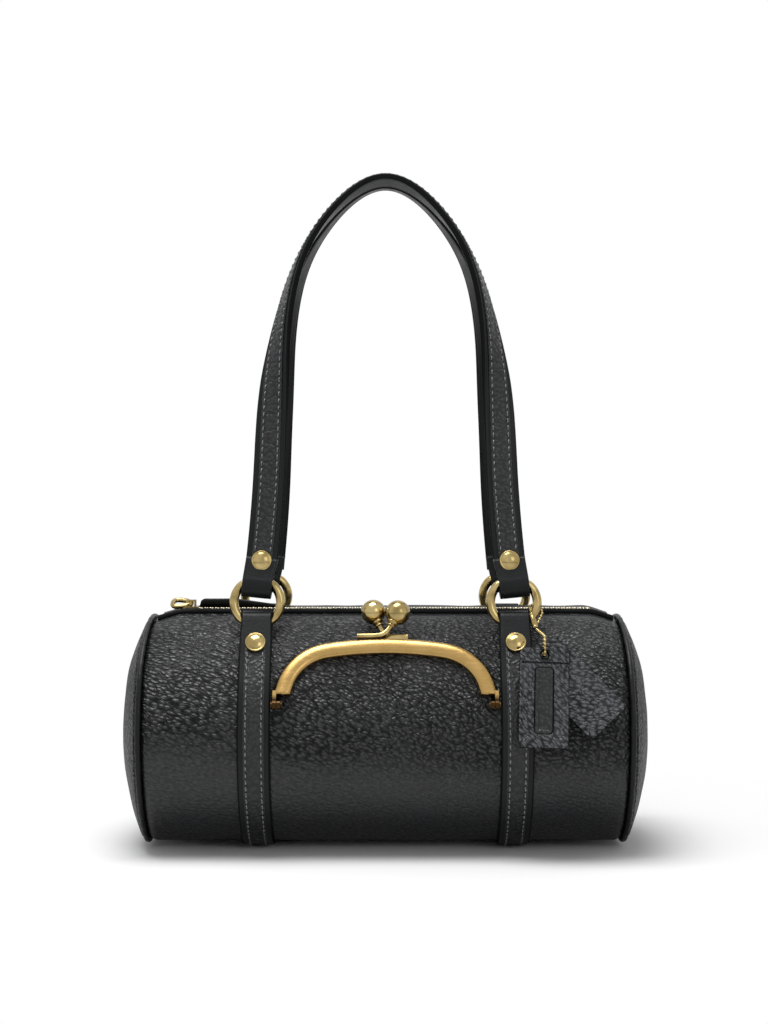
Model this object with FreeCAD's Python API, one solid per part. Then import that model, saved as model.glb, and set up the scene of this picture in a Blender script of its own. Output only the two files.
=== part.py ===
import FreeCAD, Part
import math
import os

# Barrel bag. Millimetres, +Z up, X along the barrel, front towards -Y.
# The origin is on the floor, under the middle of the whole bag.

# Cutting and layering
overrun = 30.0
lay_gap = 0.05
hole_clearance = 0.05
soft_clearance = 0.3

# Leather barrel: a round section that has settled flat on its base
barrel_radius = 61.0
base_sag = 4.3
base_corner_radius = 30.0
leather = 2.0
piping_plane = 121.0
piping_radius = 1.4
piping_sink = 0.2
end_rise = 12.0

# Inside
board_thickness = 1.6
board_half_length = 112.0
board_edge_gap = 0.8
lining_thickness = 0.8
lining_end_gap = 1.0

# Zip in the mouth of the barrel
mouth_end_lap = 2.0
mouth_half_width = 12.0
facing_thickness = 1.6
facing_inner = 5.5
facing_outer = 15.0
facing_half_length = 112.0
tape_thickness = 0.7
tape_drop = 2.0
tape_end_gap = 0.5
tooth_pitch = 2.8
tooth_length = 1.2
tooth_height = 2.0
tooth_reach = 3.2
tooth_overlap = 0.7
teeth_end_gap = 6.0
stop_length = 2.0
slider_end_gap = 8.5
slider_length = 8.0
slider_half_width = 4.3
slider_plate = 1.2
slider_wedge_length = 2.4
slider_wedge_half_width = 1.6
slider_clearance = 0.4
bridge_length = 5.2
bridge_width = 2.0
bridge_thickness = 1.0
bridge_height = 3.4
pull_wire_radius = 0.8
pull_length = 11.0
pull_half_width = 3.2
pull_corner = 2.4

# Straps round the barrel, one on each side of the kiss-lock frame
strap_frame_gap = 1.5
strap_width = 16.2
strap_thickness = 2.0
overlay_width = 10.4
overlay_thickness = 0.8
overlay_start = 3.3

# Rings and the leather folds that hold them
ring_wire_radius = 2.3
ring_half_width = 11.7
ring_half_height = 9.4
ring_half_bar = 5.0
ring_corner_turn = 45.0
loop_clearance = 0.85
loop_lift = 0.15
loop_width = 12.4
loop_angle = 58.16
loop_neck = 0.5

# Rivets
rivet_cap_radius = 5.1
rivet_cap_height = 2.4
rivet_shaft_radius = 1.5
rivet_back_radius = 3.4
rivet_back_thickness = 0.8
rivet_gap = 0.6
strap_rivet_gap = 4.25

# Handles: a flat strap that twists as it rises, so that its face lies up at the top
handle_rise = 227.9
handle_thickness = 3.0
handle_gap = 1.8
handle_sections = 44
handle_root_overlap = 1.0
# Across and up the handle, as shares of the strap spacing and of the rise above the ring
handle_path_shares = [
    (0.985, 0.0),
    (0.950, 0.11),
    (0.918, 0.25),
    (0.897, 0.40),
    (0.840, 0.595),
    (0.673, 0.80),
    (0.480, 0.90),
]
# How far up the rise the strap has turned by each of these angles, in degrees
handle_twist_shares = [
    (0.30, 0.0),
    (0.45, 15.0),
    (0.595, 50.0),
    (0.70, 66.0),
    (0.80, 78.0),
    (1.0, 90.0),
]

# Kiss-lock frames, drawn in their own plane, which leans back until the arch stands off the barrel
hinge_angle = 15.5
hinge_standoff = 3.2
frame_half_width = 54.9
frame_leg_end = 5.6
frame_top = 35.4
frame_top_standoff = 4.65
frame_top_radius = 180.0
frame_corner_radius = 29.4
frame_leg_angle = 74.0
front_bar_width = 8.0
front_bar_depth = 4.4
rear_bar_width = 5.5
rear_bar_depth = 3.8
bar_round = 1.5
frame_split = 3.4
frame_split_gap = 0.4
window_low = 1.2
flap_low = 2.8
flap_edge_gap = 0.15
knuckle_radius = 2.2
knuckle_length = 1.8
knuckle_gap = 0.3
knuckle_inset = 1.5
knuckle_web = 2.6
rear_web_low = 2.2
pin_radius = 0.9
pin_head_radius = 1.5
pin_head_length = 0.5

# Ball clasps, with stems that cross
ball_radius = 5.7
ball_rise = 43.6
ball_gap = 0.9
stem_radius = 1.3
stem_inset = 0.3
collar_radius = 2.2
collar_length = 1.6
front_plate_left = 14.2
front_plate_right = 0.8
rear_plate_left = 1.4
rear_plate_right = 10.8
plate_height = 2.2
plate_inset = 0.3
rear_plate_depth = 1.2

# Coin pouch behind the window
pouch_side_gap = 3.1
pouch_depth = 12.0
pouch_wall = 0.8
pouch_low_angle = -30.0
pouch_high_angle = 55.0

# Tags and their bead chain on the right front ring
tag_width = 23.0
tag_length = 47.0
tag_thickness = 1.8
tag_corner = 3.0
tag_lean = 14.0
tag_hole_radius = 2.0
tag_hole_inset = 3.6
tag_hole_reach = 13.1
tag_hole_drop = 15.47
front_tag_turn = 3.0
rear_tag_turn = 43.0
chain_bead_radius = 1.2
chain_wire_radius = 0.45
chain_pitch = 3.0
chain_ring_angle = -20.0
chain_loop_radius = 4.5
chain_turn_range = 80.0
chain_arc_steps = 16
chain_tag_gap = 0.6
chain_tag_rise = 8.8
connector_radius = 1.7
connector_length = 9.0
connector_drop = 5.5

# Derived places along the barrel
strap_x = frame_half_width + strap_frame_gap + strap_width / 2
pouch_half_length = frame_half_width + pouch_side_gap
tag_hole_x = strap_x + tag_hole_reach
mouth_half_length = facing_half_length - mouth_end_lap
teeth_end = mouth_half_length - teeth_end_gap
slider_x = slider_end_gap - mouth_half_length

# Derived levels
strap_base = overlay_thickness + lay_gap
panel_base = strap_base + strap_thickness + lay_gap
axis_z = panel_base + barrel_radius - base_sag
base_flat_half = math.sqrt(
    (barrel_radius - base_corner_radius) ** 2
    - (barrel_radius - base_sag - base_corner_radius) ** 2
)
barrel_top = axis_z + barrel_radius
panel_half_length = piping_plane - piping_radius - lay_gap
strap_surface = lay_gap + strap_thickness
overlay_surface = strap_surface + lay_gap + overlay_thickness
lining_offset = leather + board_thickness + 2 * lay_gap
lining_inner = barrel_radius - lining_offset - lining_thickness
tape_top = barrel_top - tape_drop + tape_thickness
tooth_base = barrel_top - tape_drop + tape_thickness / 2 - tooth_height / 2
slider_top = tooth_base + tooth_height + slider_clearance + slider_plate
pull_axis_z = slider_top + bridge_height - bridge_thickness - pull_wire_radius - slider_clearance

# Derived places of the rings and the handles
loop_bore = ring_wire_radius + loop_clearance
loop_outer = loop_bore + strap_thickness
loop_orbit = barrel_radius + lay_gap + loop_lift + loop_outer
loop_reach = loop_orbit * math.cos(math.radians(loop_angle))
loop_z = axis_z + loop_orbit * math.sin(math.radians(loop_angle))
handle_apex_y = strap_width / 2 + handle_gap / 2
handle_lean = math.degrees(math.asin((loop_reach - handle_apex_y) / handle_rise))
handle_foot = 2 * ring_half_height
rivet_from_loop = loop_outer + rivet_cap_radius + rivet_gap
# The strap leaves the barrel on a straight run that ends round the ring
run_turn = math.acos((barrel_radius + strap_surface - loop_outer) / loop_orbit)
run_angle = loop_angle - math.degrees(run_turn)
run_length = loop_orbit * math.sin(run_turn)
neck_along = run_length - loop_outer - loop_neck
strap_rivet_along = run_length - loop_outer - rivet_cap_radius - strap_rivet_gap

# Derived places of the kiss-lock
hinge_orbit = barrel_radius + hinge_standoff
hinge_y = -hinge_orbit * math.cos(math.radians(hinge_angle))
hinge_z = axis_z + hinge_orbit * math.sin(math.radians(hinge_angle))
frame_top_orbit = barrel_radius + frame_top_standoff
frame_lean = hinge_angle + math.degrees(math.asin(
    (hinge_orbit ** 2 + frame_top ** 2 - frame_top_orbit ** 2) / (2 * frame_top * hinge_orbit)
))
front_bar_back = -frame_split + frame_split_gap / 2
rear_bar_front = -frame_split - frame_split_gap / 2
rear_bar_back = rear_bar_front - rear_bar_depth
ball_x = ball_radius + ball_gap / 2

# Derived places of the tags
tag_back = barrel_radius + overlay_surface + soft_clearance
rear_tag_face = tag_back + tag_thickness
front_tag_back = rear_tag_face + soft_clearance
front_tag_face = front_tag_back + tag_thickness
tag_middle = (rear_tag_face + front_tag_back) / 2
tag_hole_height = loop_z - axis_z - tag_hole_drop
tag_rise = (
    tag_hole_height - tag_middle * math.sin(math.radians(tag_lean))
) / math.cos(math.radians(tag_lean))
tag_drop = tag_length - tag_hole_inset - tag_rise

# The bag stands further forward than back because of the tags
front_reach = (
    front_tag_face * math.cos(math.radians(tag_lean))
    + tag_drop * math.sin(math.radians(tag_lean))
)
rear_reach = barrel_radius + overlay_surface
footprint_shift = (front_reach - rear_reach) / 2


def vec(x, y, z):
    return FreeCAD.Vector(x, y, z)


def box(x0, x1, y0, y1, z0, z1):
    """A box between two corners."""
    return Part.makeBox(x1 - x0, y1 - y0, z1 - z0, vec(x0, y0, z0))


def rod(start, end, radius):
    """A round bar between two points."""
    along = end - start
    return Part.makeCylinder(radius, along.Length, start, along)


def fuse(shapes):
    """One solid from shapes that overlap."""
    return shapes[0].multiFuse(shapes[1:]).removeSplitter()


def mirrored_x(shape):
    return shape.mirror(vec(0, 0, 0), vec(1, 0, 0))


def mirrored_y(shape):
    return shape.mirror(vec(0, 0, 0), vec(0, 1, 0))


def polygon_prism(points, direction):
    """A flat closed outline, pushed along a direction."""
    return Part.Face(Part.makePolygon(points + [points[0]])).extrude(direction)


def orbit(radius, angle, x=0):
    """A point on the front of the barrel, at an angle above its axis."""
    turn = math.radians(angle)
    return vec(x, -radius * math.cos(turn), axis_z + radius * math.sin(turn))


def barrel_section(offset, x):
    """The settled barrel outline, grown by an offset: one large arc, two base arcs and a flat."""
    corner_z = panel_base + base_corner_radius
    large = barrel_radius + offset
    small = base_corner_radius + offset
    flat = panel_base - offset
    lower = math.atan2(corner_z - axis_z, base_flat_half)
    turn = (lower - math.pi / 2) / 2
    meet = vec(x, large * math.cos(lower), axis_z + large * math.sin(lower))
    middle = vec(x, base_flat_half + small * math.cos(turn), corner_z + small * math.sin(turn))
    foot = vec(x, base_flat_half, flat)

    def other(point):
        return vec(point.x, -point.y, point.z)

    edges = [
        Part.makeLine(other(foot), foot),
        Part.Arc(foot, middle, meet).toShape(),
        Part.Arc(meet, vec(x, 0, axis_z + large), other(meet)).toShape(),
        Part.Arc(other(meet), other(middle), other(foot)).toShape(),
    ]
    return Part.Wire(edges)


def barrel_solid(offset, x0, x1):
    return Part.Face(barrel_section(offset, x0)).extrude(vec(x1 - x0, 0, 0))


def barrel_layer(inner, outer, x0, x1):
    """A sheet wrapped round the barrel between two offsets."""
    core = barrel_solid(inner, x0 - overrun, x1 + overrun)
    return barrel_solid(outer, x0, x1).cut(core)


def sector(low_angle, high_angle, inner, outer, x0, x1):
    """A piece of a ring round the barrel axis, in front."""
    middle = (low_angle + high_angle) / 2
    edges = [
        Part.Arc(orbit(outer, low_angle, x0), orbit(outer, middle, x0), orbit(outer, high_angle, x0)).toShape(),
        Part.makeLine(orbit(outer, high_angle, x0), orbit(inner, high_angle, x0)),
        Part.Arc(orbit(inner, high_angle, x0), orbit(inner, middle, x0), orbit(inner, low_angle, x0)).toShape(),
        Part.makeLine(orbit(inner, low_angle, x0), orbit(outer, low_angle, x0)),
    ]
    return Part.Face(Part.Wire(edges)).extrude(vec(x1 - x0, 0, 0))


def top_wedge(angle, x0, x1):
    """The space above the barrel between the same angle in front and behind."""
    far = 2 * barrel_radius
    front = orbit(far, angle, x0)
    points = [vec(x0, 0, axis_z), front, vec(x0, front.y, axis_z + far), vec(x0, -front.y, axis_z + far),
              vec(x0, -front.y, front.z)]
    return polygon_prism(points, vec(x1 - x0, 0, 0))


def mouth_cut():
    return box(-mouth_half_length, mouth_half_length, -mouth_half_width, mouth_half_width,
               axis_z, barrel_top + overrun)


# Kiss-lock drawing plane: X across, Y up the plane, Z out of the front
def kisslock_placement():
    lean = math.radians(frame_lean)
    matrix = FreeCAD.Matrix(
        1, 0, 0, 0,
        0, math.sin(lean), -math.cos(lean), hinge_y,
        0, math.cos(lean), math.sin(lean), hinge_z,
        0, 0, 0, 1,
    )
    return FreeCAD.Placement(matrix)


def on_kisslock(shape):
    """Carries a shape from the frame's drawing plane to the barrel."""
    placed = shape.copy()
    placed.Placement = kisslock_placement().multiply(placed.Placement)
    return placed


def arch_face(inset, low):
    """The kiss-lock arch, drawn in by an inset, down to a level: top arc, corner arcs and legs."""
    lean = math.radians(frame_leg_angle)
    side = vec(math.sin(lean), math.cos(lean), 0)
    leg_end = vec(frame_half_width, frame_leg_end, 0) - side * inset
    top_radius = frame_top_radius - inset
    corner_radius = frame_corner_radius - inset
    top_centre = vec(0, frame_top - frame_top_radius, 0)
    reach = (leg_end.dot(side) - top_centre.dot(side) - corner_radius) / (top_radius - corner_radius)
    meet = lean - math.acos(reach)
    corner_centre = top_centre + vec(math.sin(meet), math.cos(meet), 0) * (top_radius - corner_radius)
    # The corner turns from the top arc's direction to the leg's
    halfway = (meet + lean) / 2
    top_meet = top_centre + vec(math.sin(meet), math.cos(meet), 0) * top_radius
    corner_middle = corner_centre + vec(math.sin(halfway), math.cos(halfway), 0) * corner_radius
    leg_meet = corner_centre + side * corner_radius
    foot = vec(leg_end.x + (leg_end.y - low) / math.tan(lean), low, 0)

    def other(point):
        return vec(-point.x, point.y, 0)

    edges = [
        Part.makeLine(other(foot), foot),
        Part.makeLine(foot, leg_meet),
        Part.Arc(leg_meet, corner_middle, top_meet).toShape(),
        Part.Arc(top_meet, top_centre + vec(0, top_radius, 0), other(top_meet)).toShape(),
        Part.Arc(other(top_meet), other(corner_middle), other(leg_meet)).toShape(),
        Part.makeLine(other(leg_meet), other(foot)),
    ]
    return Part.Face(Part.Wire(edges))


def arch_prism(inset, low, back, front):
    face = arch_face(inset, low)
    face.translate(vec(0, 0, back))
    return face.extrude(vec(0, 0, front - back))


def window_cut():
    """The arched opening that the frames stand in."""
    return on_kisslock(arch_prism(-soft_clearance, window_low, -overrun, overrun))


def arch_bar(bar_width, back, depth):
    """A flat metal arch with rounded long edges."""
    bar = arch_prism(0, frame_leg_end, back, back + depth)
    bar = bar.cut(arch_prism(bar_width, frame_leg_end - overrun, back - overrun, back + depth + overrun))
    flat_edges = []
    for edge in bar.Edges:
        ends = [vertex.Point for vertex in edge.Vertexes]
        level = abs(ends[0].z - ends[1].z) < lay_gap
        at_foot = all(abs(point.y - frame_leg_end) < lay_gap for point in ends)
        if level and not at_foot:
            flat_edges.append(edge)
    return bar.makeFillet(bar_round, flat_edges)


def knuckle(x):
    """A hinge barrel on the hinge axis, in the drawing plane."""
    return rod(vec(x, 0, 0), vec(x + knuckle_length, 0, 0), knuckle_radius)


# Places of the two kinds of knuckle, measured in from the foot of the leg
front_knuckle_x = frame_half_width - knuckle_inset
rear_knuckle_x = front_knuckle_x - knuckle_gap - knuckle_length


def pin_bore(radius):
    return rod(vec(rear_knuckle_x - overrun / 2, 0, 0), vec(front_knuckle_x + overrun, 0, 0), radius)


def kisslock_front_frame():
    bar = arch_bar(front_bar_width, front_bar_back, front_bar_depth)
    web = box(front_knuckle_x, front_knuckle_x + knuckle_length, 0, frame_leg_end + bar_round,
              -knuckle_web / 2, knuckle_web / 2)
    lug = fuse([knuckle(front_knuckle_x), web]).cut(pin_bore(pin_radius + hole_clearance))
    return on_kisslock(fuse([bar, lug, mirrored_x(lug)]))


def kisslock_rear_frame():
    bar = arch_bar(rear_bar_width, rear_bar_front - rear_bar_depth, rear_bar_depth)
    side = [
        (0, 0),
        (rear_web_low, rear_bar_front),
        (rear_web_low, rear_bar_back + bar_round),
        (frame_leg_end + bar_round, rear_bar_back + bar_round),
        (frame_leg_end + bar_round, rear_bar_front - bar_round),
        (frame_leg_end - frame_split_gap, rear_bar_front),
        (knuckle_radius, 0),
    ]
    web = polygon_prism([vec(rear_knuckle_x, up, out) for up, out in side], vec(knuckle_length, 0, 0))
    lug = fuse([knuckle(rear_knuckle_x), web]).cut(pin_bore(pin_radius + hole_clearance))
    return on_kisslock(fuse([bar, lug, mirrored_x(lug)]))


def kisslock_hinge_pins():
    start = rear_knuckle_x - knuckle_gap
    end = front_knuckle_x + knuckle_length + knuckle_gap
    pin = fuse([
        rod(vec(start - pin_head_length, 0, 0), vec(end + pin_head_length, 0, 0), pin_radius),
        rod(vec(start - pin_head_length, 0, 0), vec(start, 0, 0), pin_head_radius),
        rod(vec(end, 0, 0), vec(end + pin_head_length, 0, 0), pin_head_radius),
    ])
    return on_kisslock(Part.makeCompound([pin, mirrored_x(pin)]))


def clasp(plate_from, plate_to, foot_at, ball_at, back, front):
    """A plate on top of a frame, with a slanted stem that carries a ball on a collar."""
    lean = math.radians(frame_lean)
    out = front - stem_inset
    base = frame_top + lay_gap
    plate = box(plate_from, plate_to, base, base + plate_height, back, front)
    foot = vec(foot_at, base + plate_height / 2, out)
    centre = vec(ball_at, (ball_rise - out * math.sin(lean)) / math.cos(lean), out)
    down = foot - centre
    down.normalize()
    stem = rod(foot, centre, stem_radius)
    collar = rod(centre, centre + down * (ball_radius + collar_length), collar_radius)
    ball = Part.makeSphere(ball_radius, centre)
    return on_kisslock(fuse([plate, stem, collar, ball]))


def front_clasp():
    return clasp(-front_plate_left, front_plate_right, front_plate_right - stem_radius, ball_x,
                 front_bar_back + plate_inset, front_bar_back + front_bar_depth - plate_inset)


def rear_clasp():
    return clasp(rear_plate_left, rear_plate_right, rear_plate_left + stem_radius, -ball_x,
                 rear_bar_front - rear_plate_depth, rear_bar_front)


def coin_flap():
    """The stretch of barrel leather that the front frame carries."""
    sheet = barrel_layer(-leather, 0, -frame_half_width, frame_half_width)
    inside = on_kisslock(arch_prism(front_bar_width + flap_edge_gap, flap_low, -overrun / 2, overrun / 2))
    return sheet.common(inside)


def coin_pouch():
    """A fabric tray behind the window, open to the front."""
    outer = lining_inner - lay_gap
    inner = outer - pouch_depth
    wall_turn = math.degrees(pouch_wall / outer)
    shell = sector(pouch_low_angle, pouch_high_angle, inner, outer, -pouch_half_length, pouch_half_length)
    room = sector(pouch_low_angle + wall_turn, pouch_high_angle - wall_turn, inner + pouch_wall,
                  outer + overrun, -pouch_half_length + pouch_wall, pouch_half_length - pouch_wall)
    return shell.cut(room)


# Rivets
def run_directions():
    """Out of the face of a front strap's straight run, and up along it."""
    turn = math.radians(run_angle)
    return vec(0, -math.cos(turn), math.sin(turn)), vec(0, math.sin(turn), math.cos(turn))


def strap_rivet_axis(x):
    """A point level with the barrel axis and the outward direction of a front strap rivet."""
    out, along = run_directions()
    return orbit(0, run_angle, x) + along * strap_rivet_along, out


def rivet(centre, out, cap_from, back_to):
    """A domed cap, a shaft and a back disc along one axis."""
    dome_radius = (rivet_cap_radius ** 2 + rivet_cap_height ** 2) / (2 * rivet_cap_height)
    dome = Part.makeSphere(dome_radius, centre + out * (cap_from + rivet_cap_height - dome_radius))
    keep = Part.makeCylinder(rivet_cap_radius + dome_radius, 2 * dome_radius, centre + out * cap_from, out)
    cap = dome.common(keep)
    shaft = rod(centre + out * (back_to - rivet_back_thickness / 2),
                centre + out * (cap_from + rivet_cap_height / 2), rivet_shaft_radius)
    back = rod(centre + out * (back_to - rivet_back_thickness), centre + out * back_to, rivet_back_radius)
    return fuse([cap, shaft, back])


def strap_rivet_holes():
    """Holes through the layers of strap that the four rivets join."""
    holes = []
    for x in (-strap_x, strap_x):
        centre, out = strap_rivet_axis(x)
        hole = rod(centre + out * barrel_radius, centre + out * (barrel_radius + overrun),
                   rivet_shaft_radius + hole_clearance)
        holes += [hole, mirrored_y(hole)]
    return holes


def strap_rivets():
    rivets = []
    for x in (-strap_x, strap_x):
        centre, out = strap_rivet_axis(x)
        one = rivet(centre, out, barrel_radius + overlay_surface + lay_gap, barrel_radius)
        rivets += [one, mirrored_y(one)]
    return Part.makeCompound(rivets)


# Barrel
def body_panel():
    sheet = barrel_layer(-leather, 0, -panel_half_length, panel_half_length)
    return sheet.cut([mouth_cut(), window_cut()])


def right_end_panel():
    """A shallow dome, cut off by the settled barrel outline."""
    base = piping_plane + piping_radius + lay_gap
    radius = (barrel_radius ** 2 + end_rise ** 2) / (2 * end_rise)
    centre = vec(base + end_rise - radius, 0, axis_z)
    dome = Part.makeSphere(radius, centre).cut(Part.makeSphere(radius - leather, centre))
    return dome.common(barrel_solid(0, base, base + 2 * end_rise))


def right_piping():
    path = barrel_section(-piping_sink, piping_plane)
    start = path.Edges[0].Vertexes[0].Point
    profile = Part.Wire(Part.makeCircle(piping_radius, start, vec(0, 1, 0)))
    return path.makePipeShell([profile], True, False)


def base_board():
    low = panel_base + leather + lay_gap
    half_width = base_flat_half - board_edge_gap
    return box(-board_half_length, board_half_length, -half_width, half_width, low, low + board_thickness)


def lining():
    end = panel_half_length - lining_end_gap
    outside = barrel_solid(-lining_offset, -end, end)
    room = barrel_solid(-lining_offset - lining_thickness, -end + lining_thickness, end - lining_thickness)
    return outside.cut([room, mouth_cut(), window_cut()])


# Zip
def rear_zip_facing():
    layer = barrel_layer(lay_gap, lay_gap + facing_thickness, -facing_half_length, facing_half_length)
    return layer.common(box(-facing_half_length, facing_half_length, facing_inner, facing_outer,
                            axis_z, barrel_top + overrun))


def rear_zip_tape():
    end = mouth_half_length - tape_end_gap
    return box(-end, end, tooth_reach + lay_gap, mouth_half_width - soft_clearance,
               tape_top - tape_thickness, tape_top)


def zip_teeth(side, first):
    """A row of teeth along one tape; the two rows stand half a pitch apart."""
    teeth = []
    x = first
    while x + tooth_length < teeth_end:
        edges = sorted((-side * tooth_overlap, side * tooth_reach))
        teeth.append(box(x, x + tooth_length, edges[0], edges[1], tooth_base, tooth_base + tooth_height))
        x += tooth_pitch
    return Part.makeCompound(teeth)


teeth_start = slider_x - slider_length / 2 + slider_wedge_length + slider_clearance


def zip_top_stops():
    end = slider_x - slider_length / 2 - slider_clearance
    stop = box(end - stop_length, end, tooth_overlap, tooth_reach, tooth_base, tooth_base + tooth_height)
    return Part.makeCompound([stop, mirrored_y(stop)])


def zip_bottom_stop():
    start = teeth_end + slider_clearance
    return box(start, start + stop_length, -tooth_reach, tooth_reach, tooth_base, tooth_base + tooth_height)


def zip_slider():
    """Two plates and a wedge round the teeth, with a bridge for the pull on top."""
    left = slider_x - slider_length / 2
    right = slider_x + slider_length / 2
    top_low = slider_top - slider_plate
    bottom_high = tooth_base - slider_clearance
    top = box(left, right, -slider_half_width, slider_half_width, top_low, slider_top)
    bottom = box(left, right, -slider_half_width, slider_half_width, bottom_high - slider_plate, bottom_high)
    wedge = box(left, left + slider_wedge_length, -slider_wedge_half_width, slider_wedge_half_width,
                bottom_high - slider_plate / 2, slider_top - slider_plate / 2)
    bridge = box(slider_x - bridge_length / 2, slider_x + bridge_length / 2, -bridge_width / 2, bridge_width / 2,
                 slider_top - slider_plate / 2, slider_top + bridge_height)
    arch = box(slider_x - bridge_length / 2 + bridge_thickness, slider_x + bridge_length / 2 - bridge_thickness,
               -bridge_width, bridge_width, slider_top, slider_top + bridge_height - bridge_thickness)
    return fuse([top, bottom, wedge, bridge.cut(arch)])


def rounded_loop(half_width, near, far, corner, level):
    """A flat loop with rounded corners, from near to far along X, as a path."""
    bend = corner * (1 - math.sqrt(0.5))

    def place(x, y):
        return vec(x, y, level)

    def turn(x, y, sign_x, sign_y):
        a = place(x, y - sign_y * corner)
        b = place(x - sign_x * bend, y - sign_y * bend)
        c = place(x - sign_x * corner, y)
        return a, b, c

    far_left = turn(far, half_width, -1, 1)
    near_left = turn(near, half_width, 1, 1)
    near_right = turn(near, -half_width, 1, -1)
    far_right = turn(far, -half_width, -1, -1)
    edges = [
        Part.makeLine(near_right[0], near_left[0]),
        Part.Arc(near_left[0], near_left[1], near_left[2]).toShape(),
        Part.makeLine(near_left[2], far_left[2]),
        Part.Arc(far_left[2], far_left[1], far_left[0]).toShape(),
        Part.makeLine(far_left[0], far_right[0]),
        Part.Arc(far_right[0], far_right[1], far_right[2]).toShape(),
        Part.makeLine(far_right[2], near_right[2]),
        Part.Arc(near_right[2], near_right[1], near_right[0]).toShape(),
    ]
    return Part.Wire(edges)


def zip_pull():
    """A wire loop that hangs in the slider's bridge and lies to the left."""
    path = rounded_loop(pull_half_width, slider_x, slider_x - pull_length, pull_corner, pull_axis_z)
    profile = Part.Wire(Part.makeCircle(pull_wire_radius, path.Edges[0].Vertexes[0].Point, vec(0, 1, 0)))
    return path.makePipeShell([profile], True, False)


# Straps round the barrel
def wrapped_band(low, high, x0, x1):
    """A layer round the barrel, up to where the straps leave it in front and behind."""
    return barrel_layer(low, high, x0, x1).cut(top_wedge(run_angle, x0 - overrun, x1 + overrun))


def straight_run(low, high, x0, x1, start, end):
    """A flat stretch of a front strap between two offsets and two lengths from where it leaves the barrel."""
    out, along = run_directions()
    base = vec(x0, 0, axis_z)
    corners = [(low, start), (high, start), (high, end), (low, end)]
    points = [base + out * (barrel_radius + offset) + along * length for offset, length in corners]
    return polygon_prism(points, vec(x1 - x0, 0, 0))


def body_strap(x):
    """A band from the front ring, under the base, to the rear ring, folded round both rings."""
    x0 = x - strap_width / 2
    x1 = x + strap_width / 2
    neck_from = x - loop_width / 2
    neck_to = x + loop_width / 2
    centre = orbit(loop_orbit, loop_angle)
    run = straight_run(lay_gap, strap_surface, x0, x1, 0, neck_along)
    neck = straight_run(lay_gap, strap_surface, neck_from, neck_to, neck_along, run_length)
    fold = rod(vec(neck_from, centre.y, centre.z), vec(neck_to, centre.y, centre.z), loop_outer + lay_gap)
    bore = rod(vec(x0 - overrun, centre.y, centre.z), vec(x1 + overrun, centre.y, centre.z), loop_bore)
    front = [run, neck, fold]
    strap = fuse([wrapped_band(lay_gap, strap_surface, x0, x1)] + front + [mirrored_y(part) for part in front])
    return strap.cut([bore, mirrored_y(bore)] + strap_rivet_holes())


def strap_overlay(x):
    """A narrower strip along the strap, with its ends hidden under the rivets."""
    x0 = x - overlay_width / 2
    x1 = x + overlay_width / 2
    low = strap_surface + lay_gap
    run = straight_run(low, overlay_surface, x0, x1, 0, strap_rivet_along + overlay_start)
    strip = fuse([wrapped_band(low, overlay_surface, x0, x1), run, mirrored_y(run)])
    return strip.cut(strap_rivet_holes())


# Rings
def ring_radii():
    """Corner and side radii of a ring whose arcs meet at the corner's turn."""
    turn = math.radians(ring_corner_turn)
    sine = math.sin(turn)
    cosine = math.cos(turn)
    across = ring_half_width - ring_half_bar
    corner = (across * cosine - ring_half_height * (1 - sine)) / (sine * cosine - (1 - cosine) * (1 - sine))
    side = (ring_half_height - corner * (1 - cosine)) / cosine
    return corner, side


def ring_point(angle):
    """A point of the side arc, in the ring's plane, measured from the ring's middle."""
    side = ring_radii()[1]
    turn = math.radians(angle)
    return ring_half_width - side + side * math.cos(turn), side * math.sin(turn)


def oval_ring():
    """A thick wire ring standing on its lower bar, which lies along X at the origin."""
    corner, side = ring_radii()
    turn = ring_corner_turn
    low = vec(ring_half_bar, 0, 0)
    half = math.radians(turn / 2)
    low_middle = vec(ring_half_bar + corner * math.sin(half), 0, corner * (1 - math.cos(half)))
    right = ring_point(turn - 90)
    low_end = vec(right[0], 0, ring_half_height + right[1])
    edge = vec(ring_half_width, 0, ring_half_height)

    def flip(point):
        return vec(point.x, 0, 2 * ring_half_height - point.z)

    def other(point):
        return vec(-point.x, 0, point.z)

    edges = [
        Part.makeLine(other(low), low),
        Part.Arc(low, low_middle, low_end).toShape(),
        Part.Arc(low_end, edge, flip(low_end)).toShape(),
        Part.Arc(flip(low_end), flip(low_middle), flip(low)).toShape(),
        Part.makeLine(flip(low), other(flip(low))),
        Part.Arc(other(flip(low)), other(flip(low_middle)), other(flip(low_end))).toShape(),
        Part.Arc(other(flip(low_end)), other(edge), other(low_end)).toShape(),
        Part.Arc(other(low_end), other(low_middle), other(low)).toShape(),
    ]
    profile = Part.Wire(Part.makeCircle(ring_wire_radius, other(low), vec(1, 0, 0)))
    return Part.Wire(edges).makePipeShell([profile], True, False)


def handle_up():
    """The direction that the front ring and handle rise in, leaning back over the barrel."""
    lean = math.radians(handle_lean)
    return vec(0, math.sin(lean), math.cos(lean))


def on_handle_plane(x, up):
    """A point of the front handle's plane, measured up from the lower bars of its rings."""
    return vec(x, -loop_reach, loop_z) + handle_up() * up


def front_ring(x):
    ring = oval_ring()
    ring.rotate(vec(0, 0, 0), vec(1, 0, 0), -handle_lean)
    ring.translate(vec(x, -loop_reach, loop_z))
    return ring


# Handles
def handle_curve():
    """The middle line of the front handle, from the left ring over the top to the right ring."""
    rise = handle_rise - handle_foot
    half = [(across * strap_x, handle_foot + up * rise) for across, up in handle_path_shares]
    points = [on_handle_plane(-x, up) for x, up in half]
    points.append(on_handle_plane(0, handle_rise))
    points += [on_handle_plane(x, up) for x, up in reversed(half)]
    curve = Part.BSplineCurve()
    curve.interpolate(points)
    return curve


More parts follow.
